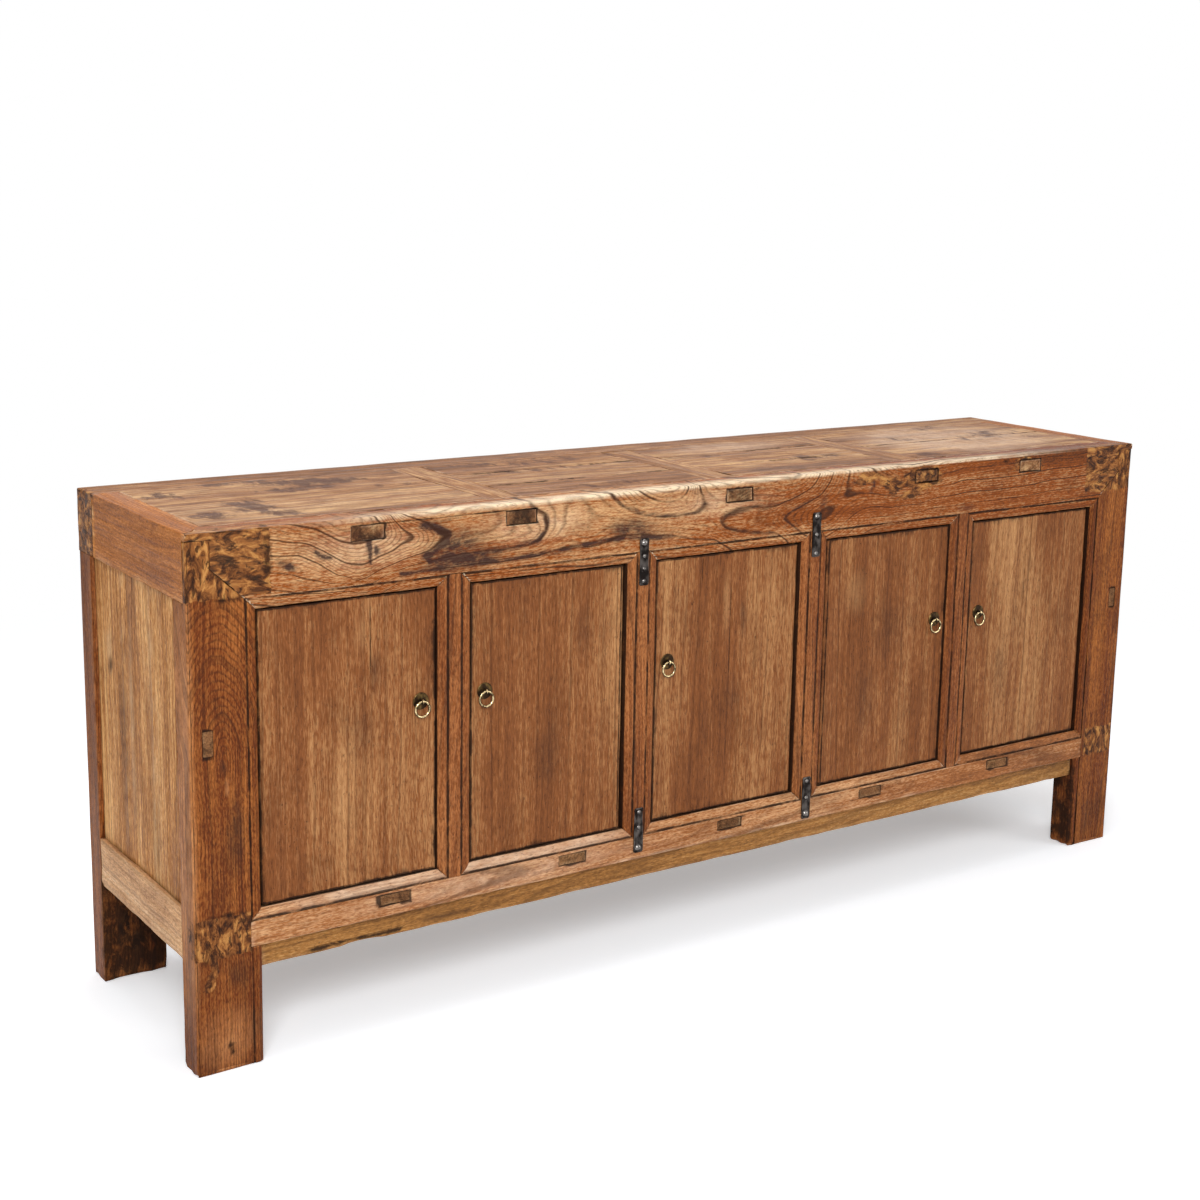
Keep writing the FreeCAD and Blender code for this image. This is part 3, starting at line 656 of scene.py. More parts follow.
    def tinted(self, wood: Layers, clouds: dict[str, Socket]) -> Socket:
        """Colours the wood: one board differs a little from the next, the patterns move it between deep and
        pale, and worn and stained places lie under the rings; the worn colour on outer edges is also a painted
        highlight.

        Args:
            wood: the layers of the finish.
            clouds: the wood's patterns by name.

        Returns:
            The colour of the wood.
        """
        shares = {"tone": self.tone_share, "band": self.band_share, "streak": self.streak_share,
                  "fibre": self.fibre_share, "hair": self.hair_share, "patina": self.patina_share}
        board = put(wood.tree, "Attribute", attribute_name="tone").outputs["Fac"]
        middle = 0.5 - sum(shares.values()) / 2
        level = put(wood.tree, "Math", {0: board, 1: middle}, operation="ADD").outputs[0]
        for name, share in shares.items():
            level = put(wood.tree, "Math", {0: clouds[name], 1: share, 2: level},
                        operation="MULTIPLY_ADD").outputs[0]
        colour = ramp_stops(put(wood.tree, "ValToRGB", {0: level}), [
            (0.0, linear(self.deep)), (0.5, linear(self.body)), (1.0, linear(self.pale))])
        # Wear, and on outer edges a pale that also serves as a painted highlight
        worn = wood.washed_mark(Mask.WEAR, clouds["ragged"])
        stained = (wood.ragged_mark if self.clumped else wood.washed_mark)(Mask.STAIN, clouds["ragged"])
        for above, share, strength in (
                (self.deep, clouds["blotch"], self.blotch_strength), (self.worn, worn, self.worn_strength),
                (self.stain, stained, self.stain_strength), (self.ring, clouds["rings"], self.ring_strength),
                (self.ring, clouds["bold"], self.bold_strength), (self.ring, clouds["pores"], self.pore_strength),
                (self.grime, clouds["flecks"], self.fleck_strength)):
            colour = wood.lay(colour, linear(above), share, strength)
        return colour

    def mottled(self, wood: Layers, clouds: dict[str, Socket]) -> Socket:
        """Colours the burl: dark, with golden veins and pits.

        Args:
            wood: the layers of the finish.
            clouds: the wood's patterns by name.

        Returns:
            The colour of the burl.
        """
        mottle = ramp_stops(put(wood.tree, "ValToRGB", {0: clouds["vein"]}), [
            (0.05, linear(self.grime)), (0.28, linear(self.ochre_dark)), (0.6, linear(self.ochre_mid)),
            (0.95, linear(self.ochre))])
        return wood.lay(mottle, linear(self.grime), clouds["pits"], self.pit_strength)

    def raised(self, tree: bpy.types.NodeTree, clouds: dict[str, Socket], burl: Socket) -> Socket:
        """Raises the fibres a little and sinks the rings, the pores and the burl's pits.

        Args:
            tree: the material's node tree.
            clouds: the wood's patterns by name.
            burl: the share of the burl.

        Returns:
            The normal of the surface.
        """
        relief = put(tree, "Math", {0: clouds["fibre"], 1: FIBRE_RELIEF}, operation="MULTIPLY")
        sunk = put(tree, "Math", {0: clouds["pits"], 1: burl}, operation="MULTIPLY")
        for part, lift in [(clouds[name], lift) for name, lift in RELIEF] + [(sunk.outputs[0], PIT_RELIEF)]:
            relief = put(tree, "Math", {0: part, 1: lift, 2: relief.outputs[0]}, operation="MULTIPLY_ADD")
        skin_and_shade = put(tree, "Bump", {"Height": relief.outputs[0], "Strength": self.bump, "Distance": RELIEF_M})
        return skin_and_shade.outputs[0]


@dataclass(frozen=True)
class AgedMetal(Finish):
    """Old worked metal: a dark coat of oxide, bright where hands or the hammer have worn it through, which
    gives the eye sharp highlights beside near-black hollows. The bright metal is also painted on the faces
    that look towards the key light, a painted highlight, and the dark oxide on those turned away, painted shade."""

    name: str
    bare_and_highlight: str
    skin_and_shade: str
    deposit: str
    bare_share: float
    rough: Point
    grit_mm: float
    cloud_grits: float = 4.0
    drawn_out: float = 0.6
    cloud_lift: float = 1.6
    bare_level: float = 1.8
    bare_edge: Point = (-0.15, 0.25)
    dust_levels: Point = (0.55, 0.75)
    dust_share: float = 0.5
    dent_strength: float = 0.35
    dent_m: float = 0.0008
    # The way to the key light, left, forward and up: faces turned this way get bright metal, partly as rubbing and
    # partly as a painted highlight, and faces turned away get the dark coat as painted shade
    rub_and_light_way: Place = (-0.35, -0.8, 0.5)

    def title(self, grain: Grain) -> str:
        """Names the material, which is the same whichever way the metal was drawn out."""
        return self.name

    def paint(self, tree: bpy.types.NodeTree, grain: Grain) -> None:
        """Builds the metal, its oxide coat with its painted highlight and shade, and its hammered relief.

        Args:
            tree: the material's node tree.
            grain: the way the metal was drawn out.
        """
        space = put(tree, "TexCoord")
        drawn = tuple(self.drawn_out if axis == grain.value else 1.0 for axis in range(3))
        places = put(tree, "Mapping", {"Vector": space.outputs["Object"], "Scale": drawn}).outputs[0]
        cloud = put(tree, "TexNoise", {
            "Vector": places, "Scale": MM / (self.grit_mm * self.cloud_grits), "Detail": 4.0})
        grit = put(tree, "TexNoise", {"Vector": places, "Scale": MM / self.grit_mm, "Detail": 3.0})
        # Painted highlight and shade: how much a face looks towards the key light moves it between bright metal
        # and dark coat
        facing_rub_and_light = put(tree, "VectorMath", {0: space.outputs["Normal"], 1: self.rub_and_light_way}, operation="DOT_PRODUCT")
        height = put(tree, "Math", {0: cloud.outputs[0], 1: self.cloud_lift, 2: facing_rub_and_light.outputs["Value"]},
                     operation="MULTIPLY_ADD")
        worn = put(tree, "Attribute", attribute_name=Mask.WEAR.value)
        height = put(tree, "Math", {0: height.outputs[0], 1: worn.outputs["Fac"]}, operation="ADD")
        low, high = (self.bare_level - self.bare_share + edge for edge in self.bare_edge)
        rubbed_and_lit = put(tree, "MapRange", {0: height.outputs[0], 1: low, 2: high}).outputs[0]
        worked = put(tree, "Mix", {0: rubbed_and_lit, 6: linear(self.skin_and_shade), 7: linear(self.bare_and_highlight)}, data_type="RGBA")
        low, high = self.dust_levels
        dust = put(tree, "MapRange", {0: grit.outputs[0], 1: low, 2: high, 4: self.dust_share})
        colour = put(tree, "Mix", {0: dust.outputs[0], 6: worked.outputs[2], 7: linear(self.deposit)},
                     data_type="RGBA")
        rough = put(tree, "MapRange", {0: rubbed_and_lit, 3: self.rough[1], 4: self.rough[0]})
        dents = put(tree, "Bump", {
            "Height": cloud.outputs[0], "Strength": self.dent_strength, "Distance": self.dent_m})
        surface = put(tree, "BsdfPrincipled", {
            "Base Color": colour.outputs[2], "Metallic": 1.0, "Roughness": rough.outputs[0],
            "Normal": dents.outputs[0]})
        put(tree, "OutputMaterial", {"Surface": surface.outputs[0]})


# Finishes of the cabinet's pieces
LEG_ELM = WaxedElm("leg", deep="#35190b", body="#6a3414", pale="#a5642f", ring="#28130a", ring_mm=4.6,
                   ring_strength=0.5, worn="#c88a58", specular=0.1)
RAIL_ELM = WaxedElm("rail", deep="#52290d", body="#8c4717", pale="#c6996a", ring="#331a0c", ring_mm=6.2,
                    wobble_mm=3.0, ring_strength=0.5, bold_strength=0.8, roughness=0.44, specular=0.1,
                    stain="#24191d", worn="#efd8b6")
SILL_ELM = WaxedElm("sill", deep="#60371a", body="#985d31", pale="#cf9f72", ring="#4f2c15", ring_strength=0.3,
                    bold_strength=0.55, roughness=0.46, worn="#dcbc9e")
END_ELM = WaxedElm("end_rail", deep="#6e3a16", body="#b06b2f", pale="#dfa064", ring="#5c3115", ring_mm=5.0)
STILE_ELM = WaxedElm("stile", deep="#3e1e0c", body="#773f1a", pale="#ad6f3f", ring="#3a1d0d", ring_strength=0.3,
                     worn="#ad784c")
DOOR_ELM = WaxedElm("door", deep="#4c2912", body="#804b26", pale="#b98858", ring="#42220e", ring_mm=13.0,
                    ring_strength=0.25, roughness=0.56, worn="#c0905f", blotch_strength=0.3, fibre_share=0.1,
                    patina_share=0.13, tone_share=0.36, band_share=0.18, hair_mm=(16.0, 1.7), hair_share=0.24)
TOP_ELM = WaxedElm("top", deep="#4f2d18", body="#90603a", pale="#cba172", ring="#4c2d15", patina_share=0.2,
                   hair_mm=(70.0, 9.0), patina_mm=(60.0, 60.0), ragged_mm=(26.0, 60.0), stain="#45200f",
                   worn="#ccab90", band_share=0.4, clumped=True)
APRON_ELM = WaxedElm("apron", deep="#5e3b1b", body="#9b6a36", pale="#c99b61", ring="#553619")
SIDE_ELM = WaxedElm("side", deep="#6c3d1e", body="#b87b42", pale="#e6b377", ring="#64401f", ring_mm=11.0,
                    ring_strength=0.25, bold_strength=0.3, roughness=0.56, band_share=0.6, fibre_share=0.4,
                    hair_mm=(12.0, 2.1), hair_share=0.38)
LOW_RAIL_ELM = WaxedElm("low_rail", deep="#8a5d3c", body="#d3a273", pale="#f0d3b0", ring="#64401f",
                        roughness=0.56)
BACK_ELM = WaxedElm("back", deep="#583d25", body="#8f6b47", pale="#bd9a70", ring="#4f3620", ring_mm=11.0,
                    ring_strength=0.25, bold_strength=0.3, roughness=0.66, hair_mm=(16.0, 2.1))
INNER_ELM = WaxedElm("inner", deep="#4a301c", body="#7d5433", pale="#9d734a", ring="#4f331f", roughness=0.68)
FORGED_IRON = AgedMetal("forged_iron", bare_and_highlight="#59534f", skin_and_shade="#1d1917", deposit="#2b1d16", bare_share=0.15,
                        rough=(0.34, 0.5), grit_mm=3.0)
NAIL_IRON = AgedMetal("rubbed_nail_iron", bare_and_highlight="#77726e", skin_and_shade="#211c1a", deposit="#2b1d16", bare_share=0.3,
                      rough=(0.24, 0.42), grit_mm=2.0)
AGED_BRASS = AgedMetal("aged_brass", bare_and_highlight="#d9c192", skin_and_shade="#3f2f1c", deposit="#241a11", bare_share=0.3,
                       rough=(0.16, 0.34), grit_mm=1.0)
DARK_BRASS = AgedMetal("darkened_brass", bare_and_highlight="#6d5632", skin_and_shade="#33261a", deposit="#1f1711", bare_share=0.1,
                       rough=(0.32, 0.5), grit_mm=1.6)


# What counts as flat, as an edge to round, as a bend and as sharp, in degrees
FLAT_DEGREES = 0.5
ARRIS_DEGREES = 50
BEND_DEGREES = 18
SHARP_DEGREES = 38

# The least length of an edge that is rounded, in metres, and the least breadth of its faces, in roundings
ARRIS_M = 0.05
ARRIS_BREADTH = 5

# The lengths of a board's swells and of the chips along its edges, in millimetres, and the steps between seeds
SWELL_MM = 150.0
CHIP_MM = 48.0
CHIP_SEED = 500
BOARD_SEED = 97

# Dirt and painted shade: how far the dark reaches out of a groove in millimetres, its share there (dirt and
# painted shade), in a crack (dirt) and behind the doors (painted shade), and how deep behind the front of an
# opening the painted shade lies in millimetres
GROOVE_MM = 3.0
GROOVE_SHARE = 0.8
CRACK_SHARE = 1.2
BEHIND_SHADE_SHARE = 1.1
BEHIND_MM = 30.0

# The most that wear takes off, the height of the worn foot of a leg, and how far a face that looks along the
# seam axis has to be turned to it
WEAR_LIMIT_MM = 2.5
FOOT_HEIGHT_MM = 30.0
SEAM_FACING = 0.6

# Where the heart of an unknown log may lie, in millimetres and degrees, and how its rings swell
HEART_MM = 120.0
HEART_LEAST_MM = 60.0
HEART_LEAN = 3.5
RING_SWELL_MM = 8
RING_SWELL_LENGTH = 170.0
RING_SQUEEZE = 0.16
RING_SEEDS = 10000

# The number of each board of a piece, in the order of the lowest corners, which are rounded to so many digits of
# a metre. The number picks the tone and the rings of the board; other pieces are numbered in that order itself.
CORNER_DIGITS = 5
BOARD_NUMBERS: dict[str, tuple[int, ...]] = {
    "back_panel": (1, 2, 0, 4, 3, 5),
    "door_1_battens": (1, 0),
    "door_2_battens": (1, 0),
    "door_3_battens": (1, 0),
    "door_4_battens": (1, 0),
    "door_5_battens": (1, 0),
    "floor_bearers": (1, 2, 0, 4, 3),
    "floor_boards": (2, 0, 1),
    "iron_straps": (2, 3, 1, 0),
    "shelf_bearers": (0, 2, 3, 1),
    "side_panels": (1, 0, 2, 4, 3, 5),
    "strap_nails": (7, 0, 12, 9, 4, 3, 10, 8, 11, 6, 2, 5, 1),
    "top_battens": (1, 0, 3, 2, 4),
    "top_panel_2": (2, 0, 1),
    "top_panel_3": (1, 0, 2),
}


@dataclass
class Board:
    """One wooden piece of the frame, worn by use: its finish, its fibres and the marks on it."""

    node: str
    slot: str
    finish: WaxedElm | AgedMetal
    grain: Grain
    figure: Log | GrowthLines | None
    marks: tuple[Mark, ...]
    cell_mm: Point
    seed: int
    round_mm: float = 1.2
    wear_mm: float = 1.0
    sway_mm: float = 0.4
    # How far the darkening along the edges of each board reaches, in millimetres: dirt, and painted shade on the
    # recessed doors
    rim_grime_and_shade: float = 0.0
    rim_share: float = 1.0
    # How pale the outer edges turn: wear that also serves as a painted highlight along beads and arrises
    edge_wear_and_highlight: float = 0.35
    body: str = "carcass"
    tones: Point = (-0.14, 0.14)
    seam_axis: int | None = None
    seam_mm: float = 0.28
    fade: tuple[Point, ...] = ()
    cracks: tuple[Crack, ...] = ()
    cuts: tuple[tuple[int, float], ...] = ()
    # How far behind the front the painted shade on the walls of the openings starts, in millimetres; none if zero
    shade_behind: float = 0.0
    foot_mm: float = 0.0

    def build(self) -> None:
        """Makes the worn board from its sharp solid, dresses it and fixes it to its body."""
        mesh = self.sliced()
        piece = bpy.data.objects.new(f"{self.node}_worn", mesh)
        bpy.context.scene.collection.objects.link(piece)
        self.age(mesh)
        mesh.shade_smooth()
        mesh.set_sharp_from_angle(angle=math.radians(SHARP_DEGREES))
        mesh.materials.append(self.finish.material(self.grain))
        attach(piece, self.body)
        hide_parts(self.node)
        log.info("%s: %d faces", piece.name, len(mesh.polygons))

    def sliced(self) -> bpy.types.Mesh:
        """Copies the solid, rounds its long edges and cuts its faces into small cells.

        Returns:
            The cut mesh, in metres, with the number of its board on each face.
        """
        shape = bmesh.new()
        shape.from_mesh(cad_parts[self.node].data)
        bmesh.ops.remove_doubles(shape, verts=shape.verts, dist=TOUCH_M)
        bmesh.ops.dissolve_limit(shape, angle_limit=math.radians(FLAT_DEGREES), verts=shape.verts,
                                 edges=shape.edges)
        if self.round_mm > 0:
            edges = [edge for edge in shape.edges if self.is_arris(edge)]
            bmesh.ops.bevel(shape, geom=edges, offset=self.round_mm / MM, segments=2, profile=0.5,
                            affect="EDGES", clamp_overlap=True)
        bmesh.ops.triangulate(shape, faces=[face for face in shape.faces if len(face.verts) > 4])
        self.number_boards(shape)
        along, across = self.cell_mm
        split_axis = 2 if self.grain is Grain.ACROSS else 0
        for axis in (self.grain.value, *(a for a in range(3) if a != self.grain.value)):
            extra = [cut / MM for crack in self.cracks for cut in crack.cuts()] if axis == split_axis else []
            extra += [place / MM for across_axis, place in self.cuts if across_axis == axis]
            self.slice_axis(shape, axis, (along if axis == self.grain.value else across) / MM, extra)
        mesh = bpy.data.meshes.new(f"{self.node}_worn")
        shape.to_mesh(mesh)
        shape.free()
        return mesh

    def is_arris(self, edge: bmesh.types.BMEdge) -> bool:
        """Tells whether an edge is a long outer corner between two broad faces.

        Args:
            edge: the edge to look at.

        Returns:
            True where use would have rounded it.
        """
        if len(edge.link_faces) != 2 or not edge.is_convex or edge.calc_length() < ARRIS_M:
            return False
        if edge.calc_face_angle(0) < math.radians(ARRIS_DEGREES):
            return False
        broad = ARRIS_BREADTH * self.round_mm / MM
        return all(face.calc_area() / edge.calc_length() > broad for face in edge.link_faces)

    def number_boards(self, shape: bmesh.types.BMesh) -> None:
        """Numbers the separate boards that one piece is made of, on their faces.

        Rounding leaves the faces in an order that differs from run to run, so the boards are put in order by
        their lowest corners first.

        Args:
            shape: the mesh before it is cut.
        """
        layer = shape.faces.layers.int.new("board")
        waiting = set(shape.faces)
        boards = []
        for first in list(shape.faces):
            if first not in waiting:
                continue
            waiting.discard(first)
            board = [first]
            for face in board:
                for other in [other for edge in face.edges for other in edge.link_faces]:
                    if other in waiting:
                        waiting.discard(other)
                        board.append(other)
            boards.append(board)
        boards.sort(key=self.lowest_corner)
        for board, number in zip(boards, BOARD_NUMBERS.get(self.node, range(len(boards)))):
            for face in board:
                face[layer] = number

    @staticmethod
    def lowest_corner(board: list[bmesh.types.BMFace]) -> tuple[float, ...]:
        """Finds the least x, y and z of a board, rounded.

        Args:
            board: the faces of the board.

        Returns:
            The three values, in metres.
        """
        places = [vert.co for face in board for vert in face.verts]
        return tuple(round(min(place[axis] for place in places), CORNER_DIGITS) for axis in range(3))

    @staticmethod
    def slice_axis(shape: bmesh.types.BMesh, axis: int, step: float, extra: list[float]) -> None:
        """Cuts every face with planes across one axis.

        Args:
            shape: the mesh to cut.
            axis: the axis that the planes stand across.
            step: the distance between planes, in metres.
            extra: more places for planes, in metres.
        """
        spans = [(min(vert.co[axis] for vert in face.verts), face) for face in shape.faces]
        spans.sort(key=lambda span: span[0], reverse=True)
        low, high = spans[-1][0], max(vert.co[axis] for vert in shape.verts)
        count = max(1, round((high - low) / step))
        normal = Vector((0, 0, 0))
        normal[axis] = 1
        active = []
        for place in sorted([low + (high - low) * number / count for number in range(1, count)] + extra):
            while spans and spans[-1][0] < place - TOUCH_M:
                active.append(spans.pop()[1])
            active = [face for face in active if max(vert.co[axis] for vert in face.verts) > place + TOUCH_M]
            parts = dict.fromkeys(active)
            for face in active:
                parts |= dict.fromkeys([*face.edges, *face.verts])
            cut = bmesh.ops.bisect_plane(shape, geom=list(parts), dist=TOUCH_M, plane_co=normal * place,
                                         plane_no=normal)
            active = [part for part in cut["geom"] if isinstance(part, bmesh.types.BMFace)]

    def age(self, mesh: bpy.types.Mesh) -> None:
        """Wears the mesh and writes down what each place carries: ring depth, tone and marks.

        Args:
            mesh: the cut mesh, in metres.
        """
        places = read(mesh.vertices, "co", 3, np.float32).astype(float) * MM
        normals = read(mesh.vertex_normals, "vector", 3, np.float32).astype(float)
        corners, valleys, boards = self.edges_and_boards(mesh, places)
        swells = waves(places, SWELL_MM, self.seed)
        chips = waves(places, CHIP_MM, self.seed + CHIP_SEED)
        carried = dict(zip(("tone", "ring"), self.tones_and_rings(places, boards)))
        carried |= {kind.value: np.zeros(len(places)) for kind in Mask}
        # Pale on outer edges: wear, which also serves as a painted highlight along beads and arrises
        traces = [(Mask.WEAR, corners * self.edge_wear_and_highlight * (0.6 + chips)),
                  # Dark in grooves and inner corners: dirt, and painted shade where the grooves are too fine to
                  # shade themselves
                  (Mask.GRIME, valleys * np.clip(1.0 + 0.5 * swells, 0, 1)),
                  # Dark along the edges of each board: dirt, and painted shade on the recessed door fronts
                  (Mask.GRIME, self.rims(places, boards) * np.clip(0.6 + 0.8 * swells, 0, 1) * self.rim_share),
                  # Painted shade on the walls of the door openings, behind the front
                  (Mask.GRIME, self.painted_shade_behind_front(places))]
        traces += [(Mask.GRIME, crack.share(places, self.grain) * CRACK_SHARE) for crack in self.cracks]
        traces += [(mark.mask, mark.spread(places)) for mark in self.marks]
        for kind, share in traces:
            carried[kind.value] = np.maximum(carried[kind.value], share)
        for title, shares in carried.items():
            layer = mesh.attributes.new(title, "FLOAT", "POINT")
            layer.data.foreach_set("value", shares.astype(np.float32))
        sink = self.sway_mm * (0.5 + swells) + corners * self.wear_mm * np.clip(chips + 0.2, 0, 1)
        sink = np.clip(sink + carried[Mask.OCHRE.value] * np.clip(chips, 0, 1), 0, WEAR_LIMIT_MM)
        low_down = np.clip(1 - places[:, 2] / FOOT_HEIGHT_MM, 0, 1)
        sink = sink + self.foot_mm * corners * low_down * np.clip(0.7 + chips, 0, 1)
        for crack in self.cracks:
            sink = sink + crack.share(places, self.grain) * crack.depth
        if self.seam_axis is not None:
            sink = np.where(np.abs(normals[:, self.seam_axis]) > SEAM_FACING, -self.seam_mm, sink)
        places = (places - normals * sink[:, None]) / MM
        mesh.vertices.foreach_set("co", places.astype(np.float32).ravel())
        mesh.update()

    @staticmethod
    def edges_and_boards(mesh: bpy.types.Mesh, places: np.ndarray) -> tuple[np.ndarray, np.ndarray, np.ndarray]:
        """Finds the places on outer edges and in narrow grooves, and the board that each place belongs to.

        Args:
            mesh: the cut mesh.
            places: rows of x, y and z in millimetres.

        Returns:
            A share for outer edges, a share for grooves and the board's number, for each vertex.
        """
        edge_of, vert_of = read(mesh.loops, "edge_index"), read(mesh.loops, "vertex_index")
        sizes, labels = read(mesh.polygons, "loop_total"), read(mesh.attributes["board"].data, "value")
        normal = read(mesh.polygons, "normal", 3, np.float32)
        centre = read(mesh.polygons, "center", 3, np.float32)
        ends = read(mesh.edges, "vertices", 2)
        face_of = np.repeat(np.arange(len(mesh.polygons)), sizes)
        boards = np.zeros(len(places), np.int32)
        boards[vert_of] = labels[face_of]
        order = np.argsort(edge_of, kind="stable")
        same = edge_of[order][:-1] == edge_of[order][1:]
        first, second = face_of[order][:-1][same], face_of[order][1:][same]
        bent = (normal[first] * normal[second]).sum(axis=1) < math.cos(math.radians(BEND_DEGREES))
        outer = ((centre[second] - centre[first]) * normal[first]).sum(axis=1) < 0
        inside = edge_of[order][:-1][same]
        corners, valleys = np.zeros(len(places)), np.zeros(len(places))
        corners[ends[inside[bent & outer]].ravel()] = 1.0
        valleys[ends[inside[bent & ~outer]].ravel()] = 1.0
        near = np.linalg.norm(places[ends[:, 0]] - places[ends[:, 1]], axis=1) < GROOVE_MM
        for start, end in ((0, 1), (1, 0)):
            beside = near & (valleys[ends[:, start]] == 1.0) & (valleys[ends[:, end]] < 1.0)
            valleys[ends[beside, end]] = GROOVE_SHARE
        return np.where(valleys > 0, 0.0, corners), valleys, boards

    def tones_and_rings(self, places: np.ndarray, boards: np.ndarray) -> tuple[np.ndarray, np.ndarray]:
        """Draws each board's tone and works out its ring depth.

        Args:
            places: rows of x, y and z in millimetres.
            boards: the number of the board that each row belongs to.

        Returns:
            The tone and the ring depth in millimetres for each row.
        """
        tones, rings = np.zeros(len(places)), np.zeros(len(places))
        for number in range(boards.max() + 1):
            chosen = boards == number
            draw = np.random.default_rng(self.seed * BOARD_SEED + number)
            tones[chosen] = draw.uniform(*self.tones)
            rings[chosen] = self.ring_depth(places[chosen], draw)
        if self.fade:
            tones = tones + np.interp(places[:, self.grain.value], *np.array(self.fade).T)
        return tones, rings

    def ring_depth(self, places: np.ndarray, draw: np.random.Generator) -> np.ndarray:
        """Works out the ring depth for one board of the piece.

        Args:
            places: rows of x, y and z in millimetres.
            draw: the seeded source for what is left to chance.

        Returns:
            The ring depth in millimetres for each row.
        """
        if isinstance(self.figure, GrowthLines):
            return self.figure.rings(places)
        figure, shift = self.figure, draw.uniform(-1, 1, 3)
        if figure is None:
            middle = (places.min(axis=0) + places.max(axis=0)) / 2
            heart = middle + shift * HEART_MM + np.sign(shift) * HEART_LEAST_MM
            figure = Log(tuple(heart), tuple(draw.uniform(-HEART_LEAN, HEART_LEAN, 2)))
        squeeze = np.array([RING_SQUEEZE if axis == self.grain.value else 1.0 for axis in range(3)])
        swell = waves(places * squeeze, RING_SWELL_LENGTH, int(draw.integers(1, RING_SEEDS)))
        return figure.rings(places, self.grain) + RING_SWELL_MM * swell

    def rims(self, places: np.ndarray, boards: np.ndarray) -> np.ndarray:
        """Gives how near each place is to the edges of its board, where the finish is darkened: dirt, and on the
        recessed doors painted shade.

        Args:
            places: rows of x, y and z in millimetres.
            boards: the number of the board that each row belongs to.

        Returns:
            A share for each row, from one at the edge to zero inside.
        """
        shares = np.zeros(len(places))
        for number in range(boards.max() + 1) if self.rim_grime_and_shade > 0 else ():
            chosen = places[boards == number]
            low, high = chosen.min(axis=0), chosen.max(axis=0)
            thin = int(np.argmin(high - low))
            gaps = [np.minimum(chosen[:, axis] - low[axis], high[axis] - chosen[:, axis])
                    for axis in range(3) if axis != thin]
            shares[boards == number] = np.clip(1 - np.minimum(*gaps) / self.rim_grime_and_shade, 0, 1)
        return shares

    def painted_shade_behind_front(self, places: np.ndarray) -> np.ndarray:
        """Paints shade on the walls of the door openings, behind the front, as dark as they look with the doors
        shut.

        Args:
            places: rows of x, y and z in millimetres.

        Returns:
            A share for each row.
        """
        if self.shade_behind <= 0:
            return np.zeros(len(places))
        behind = places[:, 1] - FRONT_Y - self.shade_behind
        hidden = np.clip(behind, 0, 1) * (np.abs(places[:, 0]) < OPENING_X) * (behind < BEHIND_MM)
        return BEHIND_SHADE_SHARE * (hidden * (places[:, 2] < OPENING_TOP + 1) * (places[:, 2] > SILL_Z - 1))


RAIL_LINES = GrowthLines(lines=(
    (62, ((-915, 833), (-870, 829), (-835, 812), (-800, 790), (-775, 779), (-740, 786), (-690, 803), (-640, 814),
          (-606, 838), (-630, 852), (-660, 868), (-690, 882))),
    (93, ((-880, 850), (-840, 838), (-800, 815), (-770, 806), (-730, 814), (-690, 828), (-665, 840), (-690, 858))),
    (124, ((-840, 868), (-800, 845), (-770, 838), (-735, 845), (-720, 860))),
    (31, ((-860, 790), (-780, 775), (-700, 785), (-650, 796), (-600, 801), (-550, 803), (-500, 802), (-450, 805),
          (-424, 813), (-411, 838), (-417, 856), (-440, 872))),
    (0, ((-700, 777), (-640, 783), (-540, 784), (-470, 784), (-420, 788), (-350, 792), (-270, 801), (-200, 798),
         (-150, 792), (-100, 781), (-50, 775))),
    (31, ((-282, 880), (-262, 858), (-240, 846), (-205, 835), (-170, 829), (-130, 828), (-95, 831), (-79, 842),
          (-82, 858), (-92, 880))),
    (62, ((-220, 878), (-180, 858), (-140, 856), (-115, 878))),
    (15, ((-350, 850), (-360, 830), (-330, 812))),
    (31, ((150, 847), (120, 836), (90, 829), (40, 831), (0, 830), (-25, 822), (-40, 808), (-33, 798), (0, 788),
          (50, 779), (95, 773))),
    (62, ((190, 838), (160, 827), (125, 815), (105, 803), (120, 790), (142, 775))),
    (93, ((260, 830), (200, 812), (190, 795))),
    (10, ((20, 868), (80, 866), (160, 875))),
    (0, ((350, 766), (500, 769), (650, 772), (900, 776))),
    (31, ((300, 778), (420, 785), (520, 788), (650, 790), (800, 796), (915, 800))),
    (62, ((370, 800), (440, 800), (480, 808), (550, 812), (650, 812), (780, 816), (915, 822))),
    (93, ((440, 818), (500, 830), (560, 838), (640, 836), (760, 838), (915, 845))),
    (124, ((470, 838), (530, 856), (600, 862), (700, 862), (800, 868), (880, 866))),
    (140, ((420, 858), (460, 862), (520, 876))),
))

